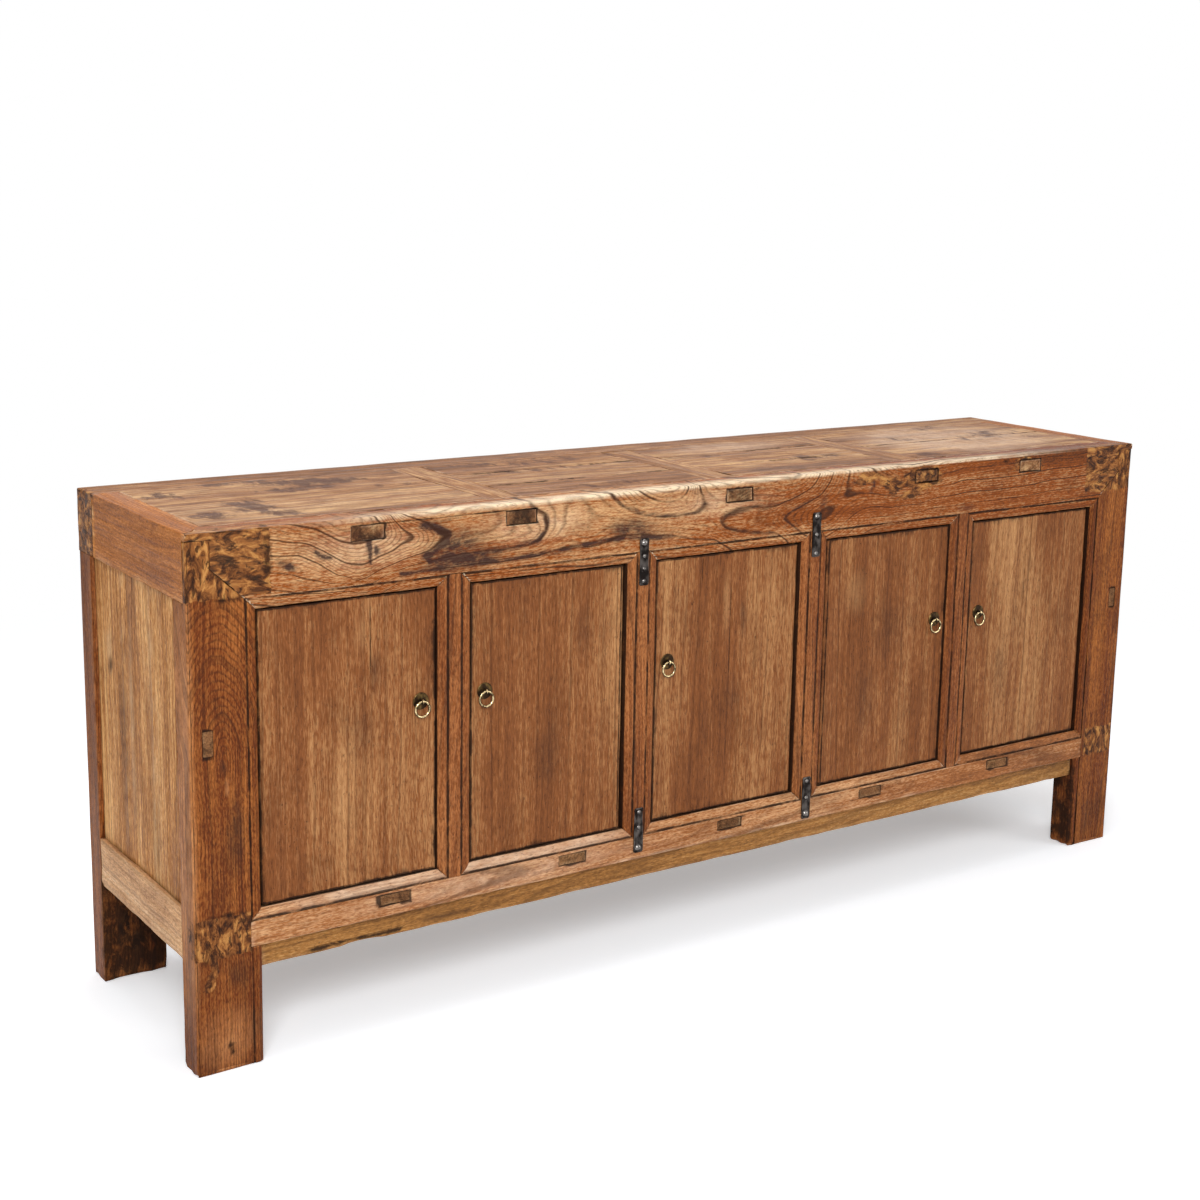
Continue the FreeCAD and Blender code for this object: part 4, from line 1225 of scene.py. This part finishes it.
RAIL_MARKS = marks(
    Mask.STAIN,
    (((-590, 818),), (92, 40), 1.0, 0.85, 10),
    (((-580, 791),), (110, 24), 1.0, 0.95, 3),
    (((-645, 806), (-615, 822), (-604, 838), (-628, 852), (-650, 858)), (12, 12), 0.9, 1.2),
    (((-640, 797), (-560, 802), (-480, 803), (-430, 811), (-413, 832), (-412, 850)), (7, 7), 0.9, 1.0),
    (((-690, 780), (-600, 785), (-500, 784), (-400, 789), (-300, 798), (-230, 799), (-150, 792)), (7, 7),
      0.9, 1.0),
    (((-230, 812),), (85, 30), 1.0, 0.85, -8),
    (((-282, 880), (-258, 856), (-205, 836), (-140, 828), (-92, 832), (-79, 845)), (5, 5), 1.0, 0.75),
    (((-40, 808), (-25, 822), (40, 830), (110, 833), (150, 846)), (4, 4), 1.0, 0.55),
    (((-38, 800), (0, 788), (80, 775)), (4, 4), 1.0, 0.5),
    (((190, 838), (125, 815), (105, 803), (142, 775)), (4.5, 4.5), 1.0, 0.6),
    (((200, 820),), (16, 32), 1.0, 0.6, -14),
    (((240, 828), (258, 838), (275, 858)), (6, 6), 1.0, 0.5),
    (((575, 783),), (40, 12), 1.0, 0.6),
    (((-890, 815),), (24, 9), 0.7, 1.1, -32),
    (((-842, 832), (-830, 824), (-815, 820)), (6, 6), 0.9, 0.9),
    (((-748, 842), (-746, 806)), (5, 5), 0.7, 1.3),
    (((-735, 824),), (8, 12), 0.8, 1.0),
    (((318, 868), (326, 848), (318, 836)), (6, 6), 0.9, 0.9),
    (((382, 851),), (14, 7), 0.9, 0.9),
    (((407, 820),), (10, 14), 0.9, 0.6),
) + marks(
    Mask.OCHRE,
    (((-987, 828),), (71, 54), 0.08, 1.0),
    (((985, 833),), (70, 50), 0.1, 1.0),
    square=True,
) + marks(
    Mask.GRIME,
    (((-922, 830),), (12, 54), 0.9, 0.85),
    (((678, 868),), (16, 8), 0.9, 0.8),
) + marks(
    Mask.WEAR,
    (((-760, 830),), (170, 52), 1.0, 0.22),
    (((-430, 840),), (150, 46), 1.0, 0.24),
    (((-60, 845),), (190, 40), 1.0, 0.2),
) + marks(
    Mask.WEAR,
    # A pale worn strip along the top front arris, which also serves as its painted highlight
    (((0, 879),), (960, 5), 0.5, 0.9),
    square=True,
) + marks(
    Mask.OCHRE,
    (((18, 858),), (58, 22), 0.9, 0.6),
    (((305, 862),), (40, 20), 0.7, 0.8, 12),
    (((372, 846),), (44, 26), 0.7, 0.9, -24),
    (((455, 852),), (64, 34), 0.6, 0.95),
    (((425, 822),), (60, 12), 0.8, 0.7, 8),
    (((745, 858),), (62, 22), 0.8, 0.75),
)

LEFT_LEG_MARKS = marks(
    Mask.WEAR,
    (((-215, 450),), (60, 460), 0.6, 0.62),
    square=True, face=Face.SIDE, depth=5.0,
) + marks(
    Mask.WEAR,
    (((-1000, 50),), (75, 80), 1.0, 0.45),
    (((-994, 488), (-998, 462)), (4, 4), 1.0, 0.6),
) + marks(
    Mask.OCHRE,
    (((-1000, 828),), (80, 54), 0.06, 1.0),
    (((-1008, 228),), (52, 36), 0.15, 1.0),
    square=True,
) + marks(
    Mask.OCHRE,
    (((-1030, 200), (-1024, 170), (-1034, 150)), (12, 12), 0.8, 0.8),
) + marks(
    Mask.GRIME,
    (((-1000, 262),), (60, 5), 0.9, 0.8),
    (((-1035, 195),), (18, 40), 1.0, 0.6),
    (((-1000, 44), (-996, 30)), (6, 6), 1.0, 0.9),
    (((-1000, 772),), (62, 8), 1.0, 0.7),
) + marks(
    Mask.STAIN,
    (((-985, 395),), (24, 100), 1.0, 0.75),
    (((-985, 160),), (26, 40), 1.0, 0.5),
    (((-1001, 507),), (10, 16), 1.0, 0.6),
)

RIGHT_LEG_MARKS = marks(
    Mask.OCHRE,
    (((990, 833),), (80, 50), 0.1, 1.0),
    (((1012, 232),), (48, 34), 0.3, 0.9),
    square=True,
) + marks(
    Mask.STAIN,
    (((1000, 60),), (40, 60), 1.0, 0.35),
) + marks(
    Mask.GRIME,
    # Painted shade on the inner face of the right leg, low down beside the apron
    (((-210, 100),), (60, 105), 0.3, 0.7),
    square=True, face=Face.SIDE, depth=6.0, level=LEG_INNER_X,
)

# How far the dirt in a joint reaches past the tenon, in millimetres
JOINT_DIRT_MM = 1.5


def mortise_rims(places: tuple[Point, ...], size: Point) -> tuple[Mark, ...]:
    """Draws the dirt in the joint round each tenon that comes through the front.

    Args:
        places: the middles of the tenon ends.
        size: half the width and half the height of the mortise.

    Returns:
        One mark for each tenon.
    """
    reach = (size[0] + JOINT_DIRT_MM, size[1] + JOINT_DIRT_MM)
    return marks(Mask.GRIME, *(((place,), reach, 0.02, 1.2) for place in places), square=True, depth=4.0)


@dataclass
class FrontFrame:
    """The front of the cabinet: two legs, the top and bottom rails, the stiles and the apron."""

    leg_cell: Point = (6.0, 5.0)
    rail_cell: Point = (5.0, 5.0)
    sill_cell: Point = (10.0, 7.0)
    stile_cell: Point = (10.0, 8.0)
    stile_places: tuple[float, ...] = (-590.6, -210.5, 184.6, 569.0)
    stile_half: float = 31.0
    rail_tenons: tuple[Point, ...] = tuple((x, 855) for x in (-750, -463, 0, 463, 750))
    rail_tenon_half: Point = (29.0, 12.0)
    sill_tenons: tuple[Point, ...] = tuple((x, 228.5) for x in (-704, -352, 0, 352, 704))
    sill_tenon_half: Point = (27.5, 9.0)
    leg_tenon: Point = (1026.0, 548.0)
    leg_tenon_half: Point = (8.0, 20.0)
    dirt_and_shade_mm: float = 1.0
    open_depth: float = 5.2

    def beside_quirk(self, axis: int, bead_side: float, inward: float) -> tuple[tuple[int, float], ...]:
        """Gives cuts on both sides of a bead's quirk, so that the dirt and painted shade in it stay narrow.

        Args:
            axis: the axis across the bead.
            bead_side: the place where the bead starts, at the opening.
            inward: one or minus one, the way from the opening into the piece.

        Returns:
            The cuts, as pairs of axis and place.
        """
        start, behind = bead_side + inward * BEAD_MM, FRONT_Y + self.open_depth
        edges = (start - inward * self.dirt_and_shade_mm, start + inward * (QUIRK_MM + self.dirt_and_shade_mm))
        return (*((axis, edge) for edge in edges), (1, behind), (1, behind + 1))

    def boards(self) -> list[Board]:
        """Lists the boards of the front frame.

        Returns:
            The boards, ready to build.
        """
        return [*self.legs(), *self.rails(), *self.stiles()]

    def legs(self) -> list[Board]:
        """Lists the two front legs.

        Returns:
            The boards, ready to build.
        """
        made = []
        for name, side, seed, tone, figure, drawn in (
                ("left", -1, 11, 0.06, Log((-998, FRONT_Y, 520), (-3.0, 22.0), True), LEFT_LEG_MARKS),
                ("right", 1, 12, 0.1, Log((1060, FRONT_Y + 30, 380), (1.5, 1.0)), RIGHT_LEG_MARKS)):
            rim = mortise_rims(((side * self.leg_tenon[0], self.leg_tenon[1]),), self.leg_tenon_half)
            made.append(Board(f"front_{name}_leg", "leg_wood", LEG_ELM, Grain.UP, figure, drawn + rim,
                              self.leg_cell, seed, edge_wear_and_highlight=0.5, foot_mm=4.0, tones=(tone, tone),
                              shade_behind=self.open_depth, cuts=self.beside_quirk(0, side * LEG_INNER_X, side)))
        return made

    def rails(self) -> list[Board]:
        """Lists the top rail, the sill and the apron under it.

        Returns:
            The boards, ready to build.
        """
        sill_wear = (marks(Mask.WEAR, (((-560, 254),), (420, 12), 0.5, 0.6), square=True)
                     + marks(Mask.WEAR, (((-500, 225),), (420, 30), 1.0, 0.4)))
        apron_marks = (marks(Mask.GRIME, (((-850, 166), (-800, 170), (-740, 168), (-690, 166)), (5, 5), 1.0, 1.0))
                       + marks(Mask.STAIN, (((-640, 176), (-560, 172)), (7, 7), 1.0, 0.6)))
        return [
            Board("front_top_rail", "rail_wood", RAIL_ELM, Grain.ACROSS, RAIL_LINES,
                  RAIL_MARKS + mortise_rims(self.rail_tenons, self.rail_tenon_half), self.rail_cell, 13,
                  round_mm=2.4, edge_wear_and_highlight=1.2, sway_mm=0.5, wear_mm=1.6, shade_behind=self.open_depth, tones=(0, 0),
                  fade=((-900, 0.17), (-200, 0.16), (150, 0.1), (500, -0.04), (1056, -0.1)),
                  cuts=self.beside_quirk(2, OPENING_TOP, 1)),
            Board("front_bottom_rail", "rail_wood", SILL_ELM, Grain.ACROSS,
                  Log((-400, FRONT_Y + 30, 225), (3.0, 0.8)),
                  sill_wear + mortise_rims(self.sill_tenons, self.sill_tenon_half), self.sill_cell, 14,
                  tones=(0.06, 0.06), shade_behind=self.open_depth, cuts=self.beside_quirk(2, SILL_Z, -1)),
            Board("front_apron", "apron_wood", APRON_ELM, Grain.ACROSS, None, apron_marks, self.sill_cell, 15),
        ]

    def stiles(self) -> list[Board]:
        """Lists the stiles between the doors.

        Returns:
            The boards, ready to build.
        """
        made = []
        for number, middle in enumerate(self.stile_places, 1):
            low, high = middle - self.stile_half, middle + self.stile_half
            made.append(Board(f"stile_{number}", "stile_wood", STILE_ELM, Grain.UP, None, (), self.stile_cell,
                              20 + number, edge_wear_and_highlight=0.25, shade_behind=self.open_depth,
                              cuts=self.beside_quirk(0, low, 1) + self.beside_quirk(0, high, -1)))
        return made


REAR_CORNER = marks(Mask.OCHRE, (((203, 826),), (44, 60), 0.1, 1.0), square=True, face=Face.SIDE, depth=8.0)

TOP_MARKS = marks(
    Mask.STAIN,
    (((-820, 190),), (170, 60), 0.8, 0.85), (((-690, 120),), (150, 55), 0.8, 0.9, -8),
    (((-730, 60),), (110, 40), 0.8, 0.75), (((-870, -60),), (60, 120), 0.8, 0.7),
    (((-850, -140),), (50, 50), 0.8, 0.9), (((-960, -110),), (50, 50), 0.8, 0.7),
    (((-955, 90),), (60, 60), 0.8, 0.6), (((-590, 200),), (120, 50), 0.8, 0.7),
    (((-560, 20),), (70, 30), 0.8, 0.5), (((-95, 195),), (90, 50), 0.8, 0.85),
    (((-230, 150),), (230, 80), 0.8, 0.5), (((-230, 50),), (230, 40), 0.8, 0.5),
    (((-275, -90),), (20, 14), 0.8, 1.0), (((-240, -150),), (190, 40), 0.8, 0.45),
    (((310, -70),), (130, 50), 0.8, 0.55), (((110, 30),), (80, 30), 0.8, 0.5),
    (((820, 130),), (60, 90), 0.8, 0.6, 20), (((860, 10),), (190, 70), 0.8, 0.55, 15),
    (((640, 40),), (50, 50), 0.8, 0.6), (((545, -155),), (60, 40), 0.8, 0.8),
    (((950, -50),), (80, 40), 0.8, 0.6),
    face=Face.TOP,
) + marks(
    Mask.WEAR,
    (((760, 0),), (270, 230), 0.5, 0.6),
    (((240, 120),), (200, 90), 0.8, 0.5),
    face=Face.TOP,
)


@dataclass
class TopFrame:
    """The top of the cabinet: end and rear rails, cross battens and four floating panels."""

    panel_cell: Point = (14.0, 10.0)
    rail_cell: Point = (16.0, 11.0)
    batten_cell: Point = (16.0, 6.0)
    panel_count: int = 4
    plug_half: Point = (33.0, 16.0)
    plug_shares: tuple[Point, ...] = ((-750, 0.6), (-463, 0.95), (0, 0.75), (463, 0.15), (750, 0.25))
    plug_level: float = 855.0
    plug_eye: float = 463.0

    def boards(self) -> list[Board]:
        """Lists the boards of the top.

        Returns:
            The boards, ready to build.
        """
        made = [
            Board("rear_top_rail", "rail_wood", TOP_ELM, Grain.ACROSS, None, REAR_CORNER, self.rail_cell, 31),
            Board("left_top_rail", "rail_wood", END_ELM, Grain.DEEP, None, (), self.rail_cell, 32),
            Board("right_top_rail", "rail_wood", END_ELM, Grain.DEEP, None, (), self.rail_cell, 33),
            Board("top_battens", "top_wood", TOP_ELM, Grain.DEEP, None, self.plug_marks(), self.batten_cell, 34,
                  sway_mm=0.9),
        ]
        for number in range(1, self.panel_count + 1):
            made.append(Board(f"top_panel_{number}", "top_wood", TOP_ELM, Grain.ACROSS, None, TOP_MARKS,
                              self.panel_cell, 40 + number, rim_grime_and_shade=5.0))
        return made

    def plug_marks(self) -> tuple[Mark, ...]:
        """Darkens the end grain of the tenons that come through the front rail, some more than others.

        Returns:
            A mark for each tenon end, and a golden eye on one of them.
        """
        dark = [(((place, self.plug_level),), self.plug_half, 0.4, share) for place, share in self.plug_shares]
        eye = (((self.plug_eye, self.plug_level),), self.plug_half, 0.4, 0.9)
        return (marks(Mask.GRIME, *dark, square=True, depth=3.0)
                + marks(Mask.OCHRE, eye, square=True, depth=3.0))


REAR_LEG_MARKS = marks(
    Mask.WEAR,
    (((215, 450),), (60, 460), 0.6, 0.08),
    square=True, face=Face.SIDE, depth=5.0,
) + marks(
    Mask.OCHRE,
    (((203, 826),), (44, 56), 0.1, 1.0),
    square=True, face=Face.SIDE, depth=8.0,
) + marks(
    Mask.GRIME,
    # Painted shade on the front face of the rear leg, low down under the cabinet
    (((-1000, 100),), (75, 120), 0.3, 0.85),
    square=True, depth=5.0, level=REAR_LEG_Y,
) + marks(
    Mask.OCHRE,
    (((-1010, 110), (-1015, 70), (-990, 60)), (22, 22), 0.9, 0.6),
    depth=5.0, level=REAR_LEG_Y,
)

SIDE_MARKS = marks(
    Mask.WEAR,
    (((40, 500),), (12, 260), 0.9, 0.8),
    (((135, 625),), (22, 40), 1.0, 0.9),
    face=Face.SIDE,
) + marks(
    Mask.STAIN,
    (((130, 588),), (14, 20), 0.9, 0.9),
    (((80, 480),), (26, 230), 1.0, 0.45),
    (((-60, 330),), (30, 160), 1.0, 0.35),
    face=Face.SIDE,
)


@dataclass
class SidesAndBack:
    """The closed sides, the back and the low rails that hold them."""

    panel_cell: Point = (24.0, 16.0)
    rail_cell: Point = (14.0, 10.0)
    leg_cell: Point = (22.0, 14.0)

    def boards(self) -> list[Board]:
        """Lists the boards of the sides and the back.

        Returns:
            The boards, ready to build.
        """
        return [
            Board("rear_left_leg", "leg_wood", LEG_ELM, Grain.UP, None, REAR_LEG_MARKS, self.leg_cell, 51,
                  foot_mm=3.0),
            Board("rear_right_leg", "leg_wood", LEG_ELM, Grain.UP, None, (), self.leg_cell, 52, foot_mm=3.0),
            Board("left_bottom_rail", "rail_wood", LOW_RAIL_ELM, Grain.DEEP, None, (), self.rail_cell, 53),
            Board("right_bottom_rail", "rail_wood", LOW_RAIL_ELM, Grain.DEEP, None, (), self.rail_cell, 54),
            Board("rear_bottom_rail", "inner_wood", BACK_ELM, Grain.ACROSS, None, (), self.leg_cell, 55),
            Board("side_panels", "side_wood", SIDE_ELM, Grain.UP, None, SIDE_MARKS, self.panel_cell, 56,
                  seam_axis=1),
            Board("back_panel", "inner_wood", BACK_ELM, Grain.UP, None, (), self.panel_cell, 57, seam_axis=0),
        ]


DOOR_MARKS = marks(
    Mask.STAIN,
    (((20, 622),), (9, 44), 1.0, 0.75),
    (((0, 470),), (36, 60), 1.0, 0.35),
    (((-52, 300),), (5, 16), 1.0, 0.8),
    (((-80, 590),), (8, 30), 1.0, 0.5),
    (((-760, 520),), (40, 90), 1.0, 0.3),
    (((-735, 620),), (14, 60), 1.0, 0.45),
    (((-400, 430),), (50, 110), 1.0, 0.35),
    (((-330, 640),), (30, 70), 1.0, 0.35),
    (((380, 560),), (60, 100), 1.0, 0.35),
    (((330, 420),), (40, 110), 1.0, 0.4),
    (((700, 430),), (40, 120), 1.0, 0.3),
) + marks(
    Mask.WEAR,
    (((-17, 660),), (10, 80), 1.0, 0.5),
    (((-800, 420),), (9, 140), 1.0, 0.5),
    (((-760, 690),), (12, 40), 1.0, 0.45),
    (((300, 640),), (40, 60), 1.0, 0.35),
)

DOOR_CRACKS = {
    1: (Crack(-743, (610, 745), 1.3, 1.4),),
    3: (Crack(-74, (700, 748), 1.2, 1.4), Crack(-8, (520, 700), 1.0, 0.8)),
    5: (Crack(760, (560, 640), 1.0, 0.8),),
}


@dataclass
class Doors:
    """Five plank doors, each with its battens, pivots and ring pull."""

    cell: Point = (14.0, 10.0)
    batten_cell: Point = (24.0, 12.0)
    tones: tuple[float, ...] = (0.03, 0.14, 0.01, -0.06, 0.09)
    hearts: Point = (-260.0, 240.0)
    heart_level: Point = (FRONT_Y + 60, 500.0)
    # Width and fade of the painted shadow of the gap round each door, in millimetres
    gap_shadow_mm: float = 2.0
    fade_mm: float = 1.5

    def painted_gap_shadow(self, low: Point, high: Point) -> tuple[Mark, ...]:
        """Draws a painted shadow of the gap along the four edges of a door's front.

        Args:
            low: the left and lower edges, in millimetres.
            high: the right and upper edges, in millimetres.

        Returns:
            One mark for each edge.
        """
        (left, lower), (right, upper) = low, high
        reach = self.gap_shadow_mm + self.fade_mm
        bars = [((((left + right) / 2, edge),), (right - left, reach), 0.2, 0.9) for edge in (lower, upper)]
        bars += [(((edge, (lower + upper) / 2),), (reach, upper - lower), 0.2, 0.9) for edge in (left, right)]
        return marks(Mask.GRIME, *bars, square=True)

    def painted_gap_shadow_cuts(self, low: Point, high: Point) -> tuple[tuple[int, float], ...]:
        """Gives the cuts that keep the painted gap shadow along a door's edges narrow.

        Args:
            low: the left and lower edges, in millimetres.
            high: the right and upper edges, in millimetres.

        Returns:
            The cuts, as pairs of axis and place.
        """
        sides = ((0, low[0], 1), (0, high[0], -1), (2, low[1], 1), (2, high[1], -1))
        return tuple((axis, edge + way * step) for step in (self.gap_shadow_mm, self.gap_shadow_mm + self.fade_mm)
                     for axis, edge, way in sides)

    def boards(self) -> list[Board]:
        """Lists the door planks and the battens behind them.

        Returns:
            The boards, ready to build.
        """
        made = []
        for number, tone in enumerate(self.tones, 1):
            low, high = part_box(f"door_{number}_panel")
            low, high = (low.x * MM, low.z * MM), (high.x * MM, high.z * MM)
            heart = ((low[0] + high[0]) / 2 + self.hearts[number % 2], *self.heart_level)
            made.append(Board(f"door_{number}_panel", "door_wood", DOOR_ELM, Grain.UP, Log(heart, (0.6, 2.0)),
                              DOOR_MARKS + self.painted_gap_shadow(low, high), self.cell, 60 + number,
                              body=f"door_{number}", edge_wear_and_highlight=0.2, rim_grime_and_shade=12.0, rim_share=0.4,
                              tones=(tone, tone), cracks=DOOR_CRACKS.get(number, ()),
                              cuts=self.painted_gap_shadow_cuts(low, high)))
            made.append(Board(f"door_{number}_battens", "inner_wood", INNER_ELM, Grain.ACROSS, None, (),
                              self.batten_cell, 70 + number, body=f"door_{number}"))
        return made

    def dress(self) -> None:
        """Gives the pivots and the pulls their finishes."""
        finishes = {"pivots": INNER_ELM, "backplate": DARK_BRASS, "split_pin": AGED_BRASS, "ring": AGED_BRASS}
        for number in range(1, len(self.tones) + 1):
            for part, finish in finishes.items():
                self.dress_part(f"door_{number}_{part}", finish.material())

    @staticmethod
    def dress_part(name: str, finish: bpy.types.Material) -> None:
        """Puts a finish on a solid that is shown as it is.

        Args:
            name: the solid's name.
            finish: the material to put on it.
        """
        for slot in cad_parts[name].material_slots:
            slot.material = finish
        log.info("%s: dressed", name)


@dataclass
class Inside:
    """The floor and the shelf behind the doors, with their bearers."""

    planks: tuple[str, ...] = ("floor_boards", "shelf_boards")
    bearers: tuple[str, ...] = ("floor_bearers", "shelf_bearers")
    bearer_cell: Point = (30.0, 7.0)
    plank_cell: Point = (60.0, 24.0)

    def boards(self) -> list[Board]:
        """Lists the floor, the shelf and the bearers, whose tenon ends show dark in the front.

        Returns:
            The boards, ready to build.
        """
        ends = marks(Mask.GRIME, (((0, 400),), (1100, 300), 0.1, 0.3), square=True, depth=3.0)
        made = [Board(name, "inner_wood", INNER_ELM, Grain.DEEP, None, ends, self.bearer_cell, 80, sway_mm=0.8)
                for name in self.bearers]
        return made + [Board(name, "inner_wood", INNER_ELM, Grain.ACROSS, None, (), self.plank_cell, 84)
                       for name in self.planks]


@dataclass
class Ironwork:
    """Forged straps with domed nails on the two middle stiles."""

    strap_cell: Point = (4.0, 3.5)
    nail_cell: Point = (2.0, 2.0)

    def boards(self) -> list[Board]:
        """Lists the straps and the nails, hammered out of true.

        Returns:
            The pieces, ready to build.
        """
        return [
            Board("iron_straps", "iron", FORGED_IRON, Grain.UP, None, (), self.strap_cell, 91, round_mm=0.0,
                  wear_mm=0.9, sway_mm=0.5, edge_wear_and_highlight=0.3),
            Board("strap_nails", "iron", NAIL_IRON, Grain.UP, None, (), self.nail_cell, 92, round_mm=0.0,
                  wear_mm=0.0, sway_mm=0.3, edge_wear_and_highlight=0.0),
        ]


@dataclass(frozen=True)
class Lamp:
    """A square soft lamp: its place and the point it faces, the length of its sides, in metres, and its watts."""

    name: str
    place: Place
    target: Place
    size: float
    power: float

    def build(self) -> None:
        """Hangs the lamp."""
        data = bpy.data.lights.new(self.name, "AREA")
        data.shape = "SQUARE"
        data.size = self.size
        data.energy = self.power
        lamp = bpy.data.objects.new(self.name, data)
        lamp.location = self.place
        lamp.rotation_euler = (Vector(self.target) - Vector(self.place)).to_track_quat("-Z", "Y").to_euler()
        bpy.context.scene.collection.objects.link(lamp)


@dataclass
class Studio:
    """A pale floor, soft light and the camera that stands where the picture was taken, in metres and radians."""

    floor_span: float = 40.0
    shadow_reach: float = 1.9
    white_from: float = 3.0
    floor_level: float = -0.0006
    floor_glow: float = 0.27
    floor_paper: str = "#f8fbff"
    white: str = "#ffffff"
    eye: Place = (-2.09012, -2.8875, 1.42983)
    yaw: float = 0.60932580
    pitch: float = 0.19800802
    roll: float = 0.02058480
    lens_mm: float = 56.4954
    sensor_mm: float = 36.0
    shift: Point = (-0.0251, -0.0440)
    view_end: float = 100.0
    lamps: tuple[Lamp, ...] = (
        Lamp("key", (-2.6, -3.4, 2.9), (0.0, 0.0, 0.45), 1.6, 135.0),
        Lamp("fill", (3.2, -3.6, 2.2), (0.2, 0.0, 0.4), 2.4, 55.0),
        Lamp("overhead", (-0.2, 0.3, 3.6), (0.0, 0.0, 0.5), 2.4, 62.0),
    )
    sky: float = 0.45

    def build(self) -> None:
        """Sets up the floor, the sky, the lamps and the camera."""
        bpy.context.scene.view_settings.view_transform = "Standard"
        self.build_floor()
        self.build_sky()
        for lamp in self.lamps:
            lamp.build()
        self.build_camera()
        log.info("studio: %d lamps", len(self.lamps))

    @staticmethod
    def shown_rays(tree: bpy.types.NodeTree) -> Socket:
        """Picks out the rays that show the surround, to the camera or in metal and glass.

        Args:
            tree: the node tree of the floor or the sky.

        Returns:
            One for such rays and zero for those that only light the object.
        """
        path = put(tree, "LightPath")
        seen = path.outputs["Is Camera Ray"]
        for kind in ("Is Glossy Ray", "Is Transmission Ray"):
            seen = put(tree, "Math", {0: seen, 1: path.outputs[kind]}, operation="ADD", use_clamp=True).outputs[0]
        return seen

    def build_floor(self) -> None:
        """Lays the floor, white to the camera where no shadow falls on it."""
        half = self.floor_span / 2
        corners = [(-half, -half), (half, -half), (half, half), (-half, half)]
        mesh = bpy.data.meshes.new("floor")
        mesh.from_pydata([(x, y, self.floor_level) for x, y in corners], [], [(0, 1, 2, 3)])
        floor = bpy.data.objects.new("floor", mesh)
        bpy.context.scene.collection.objects.link(floor)
        paper = bpy.data.materials.new("white_paper_floor")
        paper.use_nodes = True
        tree = paper.node_tree
        tree.nodes.clear()
        seen = self.shown_rays(tree)
        matt = put(tree, "BsdfDiffuse", {"Color": linear(self.floor_paper)})
        lift = put(tree, "Math", {0: seen, 1: self.floor_glow}, operation="MULTIPLY")
        glow = put(tree, "Emission", {"Color": linear(self.white), "Strength": lift.outputs[0]})
        both = put(tree, "AddShader", {0: matt.outputs[0], 1: glow.outputs[0]})
        away = put(tree, "VectorMath", {0: put(tree, "TexCoord").outputs["Object"]}, operation="LENGTH")
        far = put(tree, "MapRange", {0: away.outputs["Value"], 1: self.shadow_reach, 2: self.white_from})
        plain = put(tree, "Emission", {"Color": linear(self.white), "Strength": 1.0})
        shown = put(tree, "Math", {0: far.outputs[0], 1: seen}, operation="MULTIPLY")
        faded = put(tree, "MixShader", {0: shown.outputs[0], 1: both.outputs[0], 2: plain.outputs[0]})
        put(tree, "OutputMaterial", {"Surface": faded.outputs[0]})
        mesh.materials.append(paper)

    def build_sky(self) -> None:
        """Makes a plain white surround that lights softly and shows as white."""
        world = bpy.data.worlds.new("studio")
        bpy.context.scene.world = world
        world.use_nodes = True
        tree = world.node_tree
        tree.nodes.clear()
        level = put(tree, "MapRange", {0: self.shown_rays(tree), 3: self.sky, 4: 1.0})
        light = put(tree, "Background", {"Color": linear(self.white), "Strength": level.outputs[0]})
        put(tree, "OutputWorld", {"Surface": light.outputs[0]})

    def build_camera(self) -> None:
        """Stands the camera at the picture's viewpoint."""
        data = bpy.data.cameras.new("camera")
        data.sensor_width = self.sensor_mm
        data.lens = self.lens_mm
        data.shift_x, data.shift_y = self.shift
        data.clip_end = self.view_end
        level = math.cos(self.pitch)
        right = Vector((math.cos(self.yaw), -math.sin(self.yaw), 0))
        ahead = Vector((math.sin(self.yaw) * level, math.cos(self.yaw) * level, -math.sin(self.pitch)))
        up = right.cross(ahead)
        side = right * math.cos(self.roll) + up * math.sin(self.roll)
        above = up * math.cos(self.roll) - right * math.sin(self.roll)
        turn = Matrix((side, above, -ahead)).transposed().to_4x4()
        camera = bpy.data.objects.new("camera", data)
        camera.matrix_world = Matrix.Translation(self.eye) @ turn
        bpy.context.scene.collection.objects.link(camera)
        bpy.context.scene.camera = camera


def main() -> None:
    """Builds the cabinet's looks in order, then the studio around it."""
    logging.basicConfig(level=logging.INFO, format="%(message)s")
    doors = Doors()
    for group in (FrontFrame(), TopFrame(), SidesAndBack(), Inside(), Ironwork(), doors):
        for board in group.boards():
            board.build()
    doors.dress()
    Studio().build()


if __name__ == "__main__":
    main()
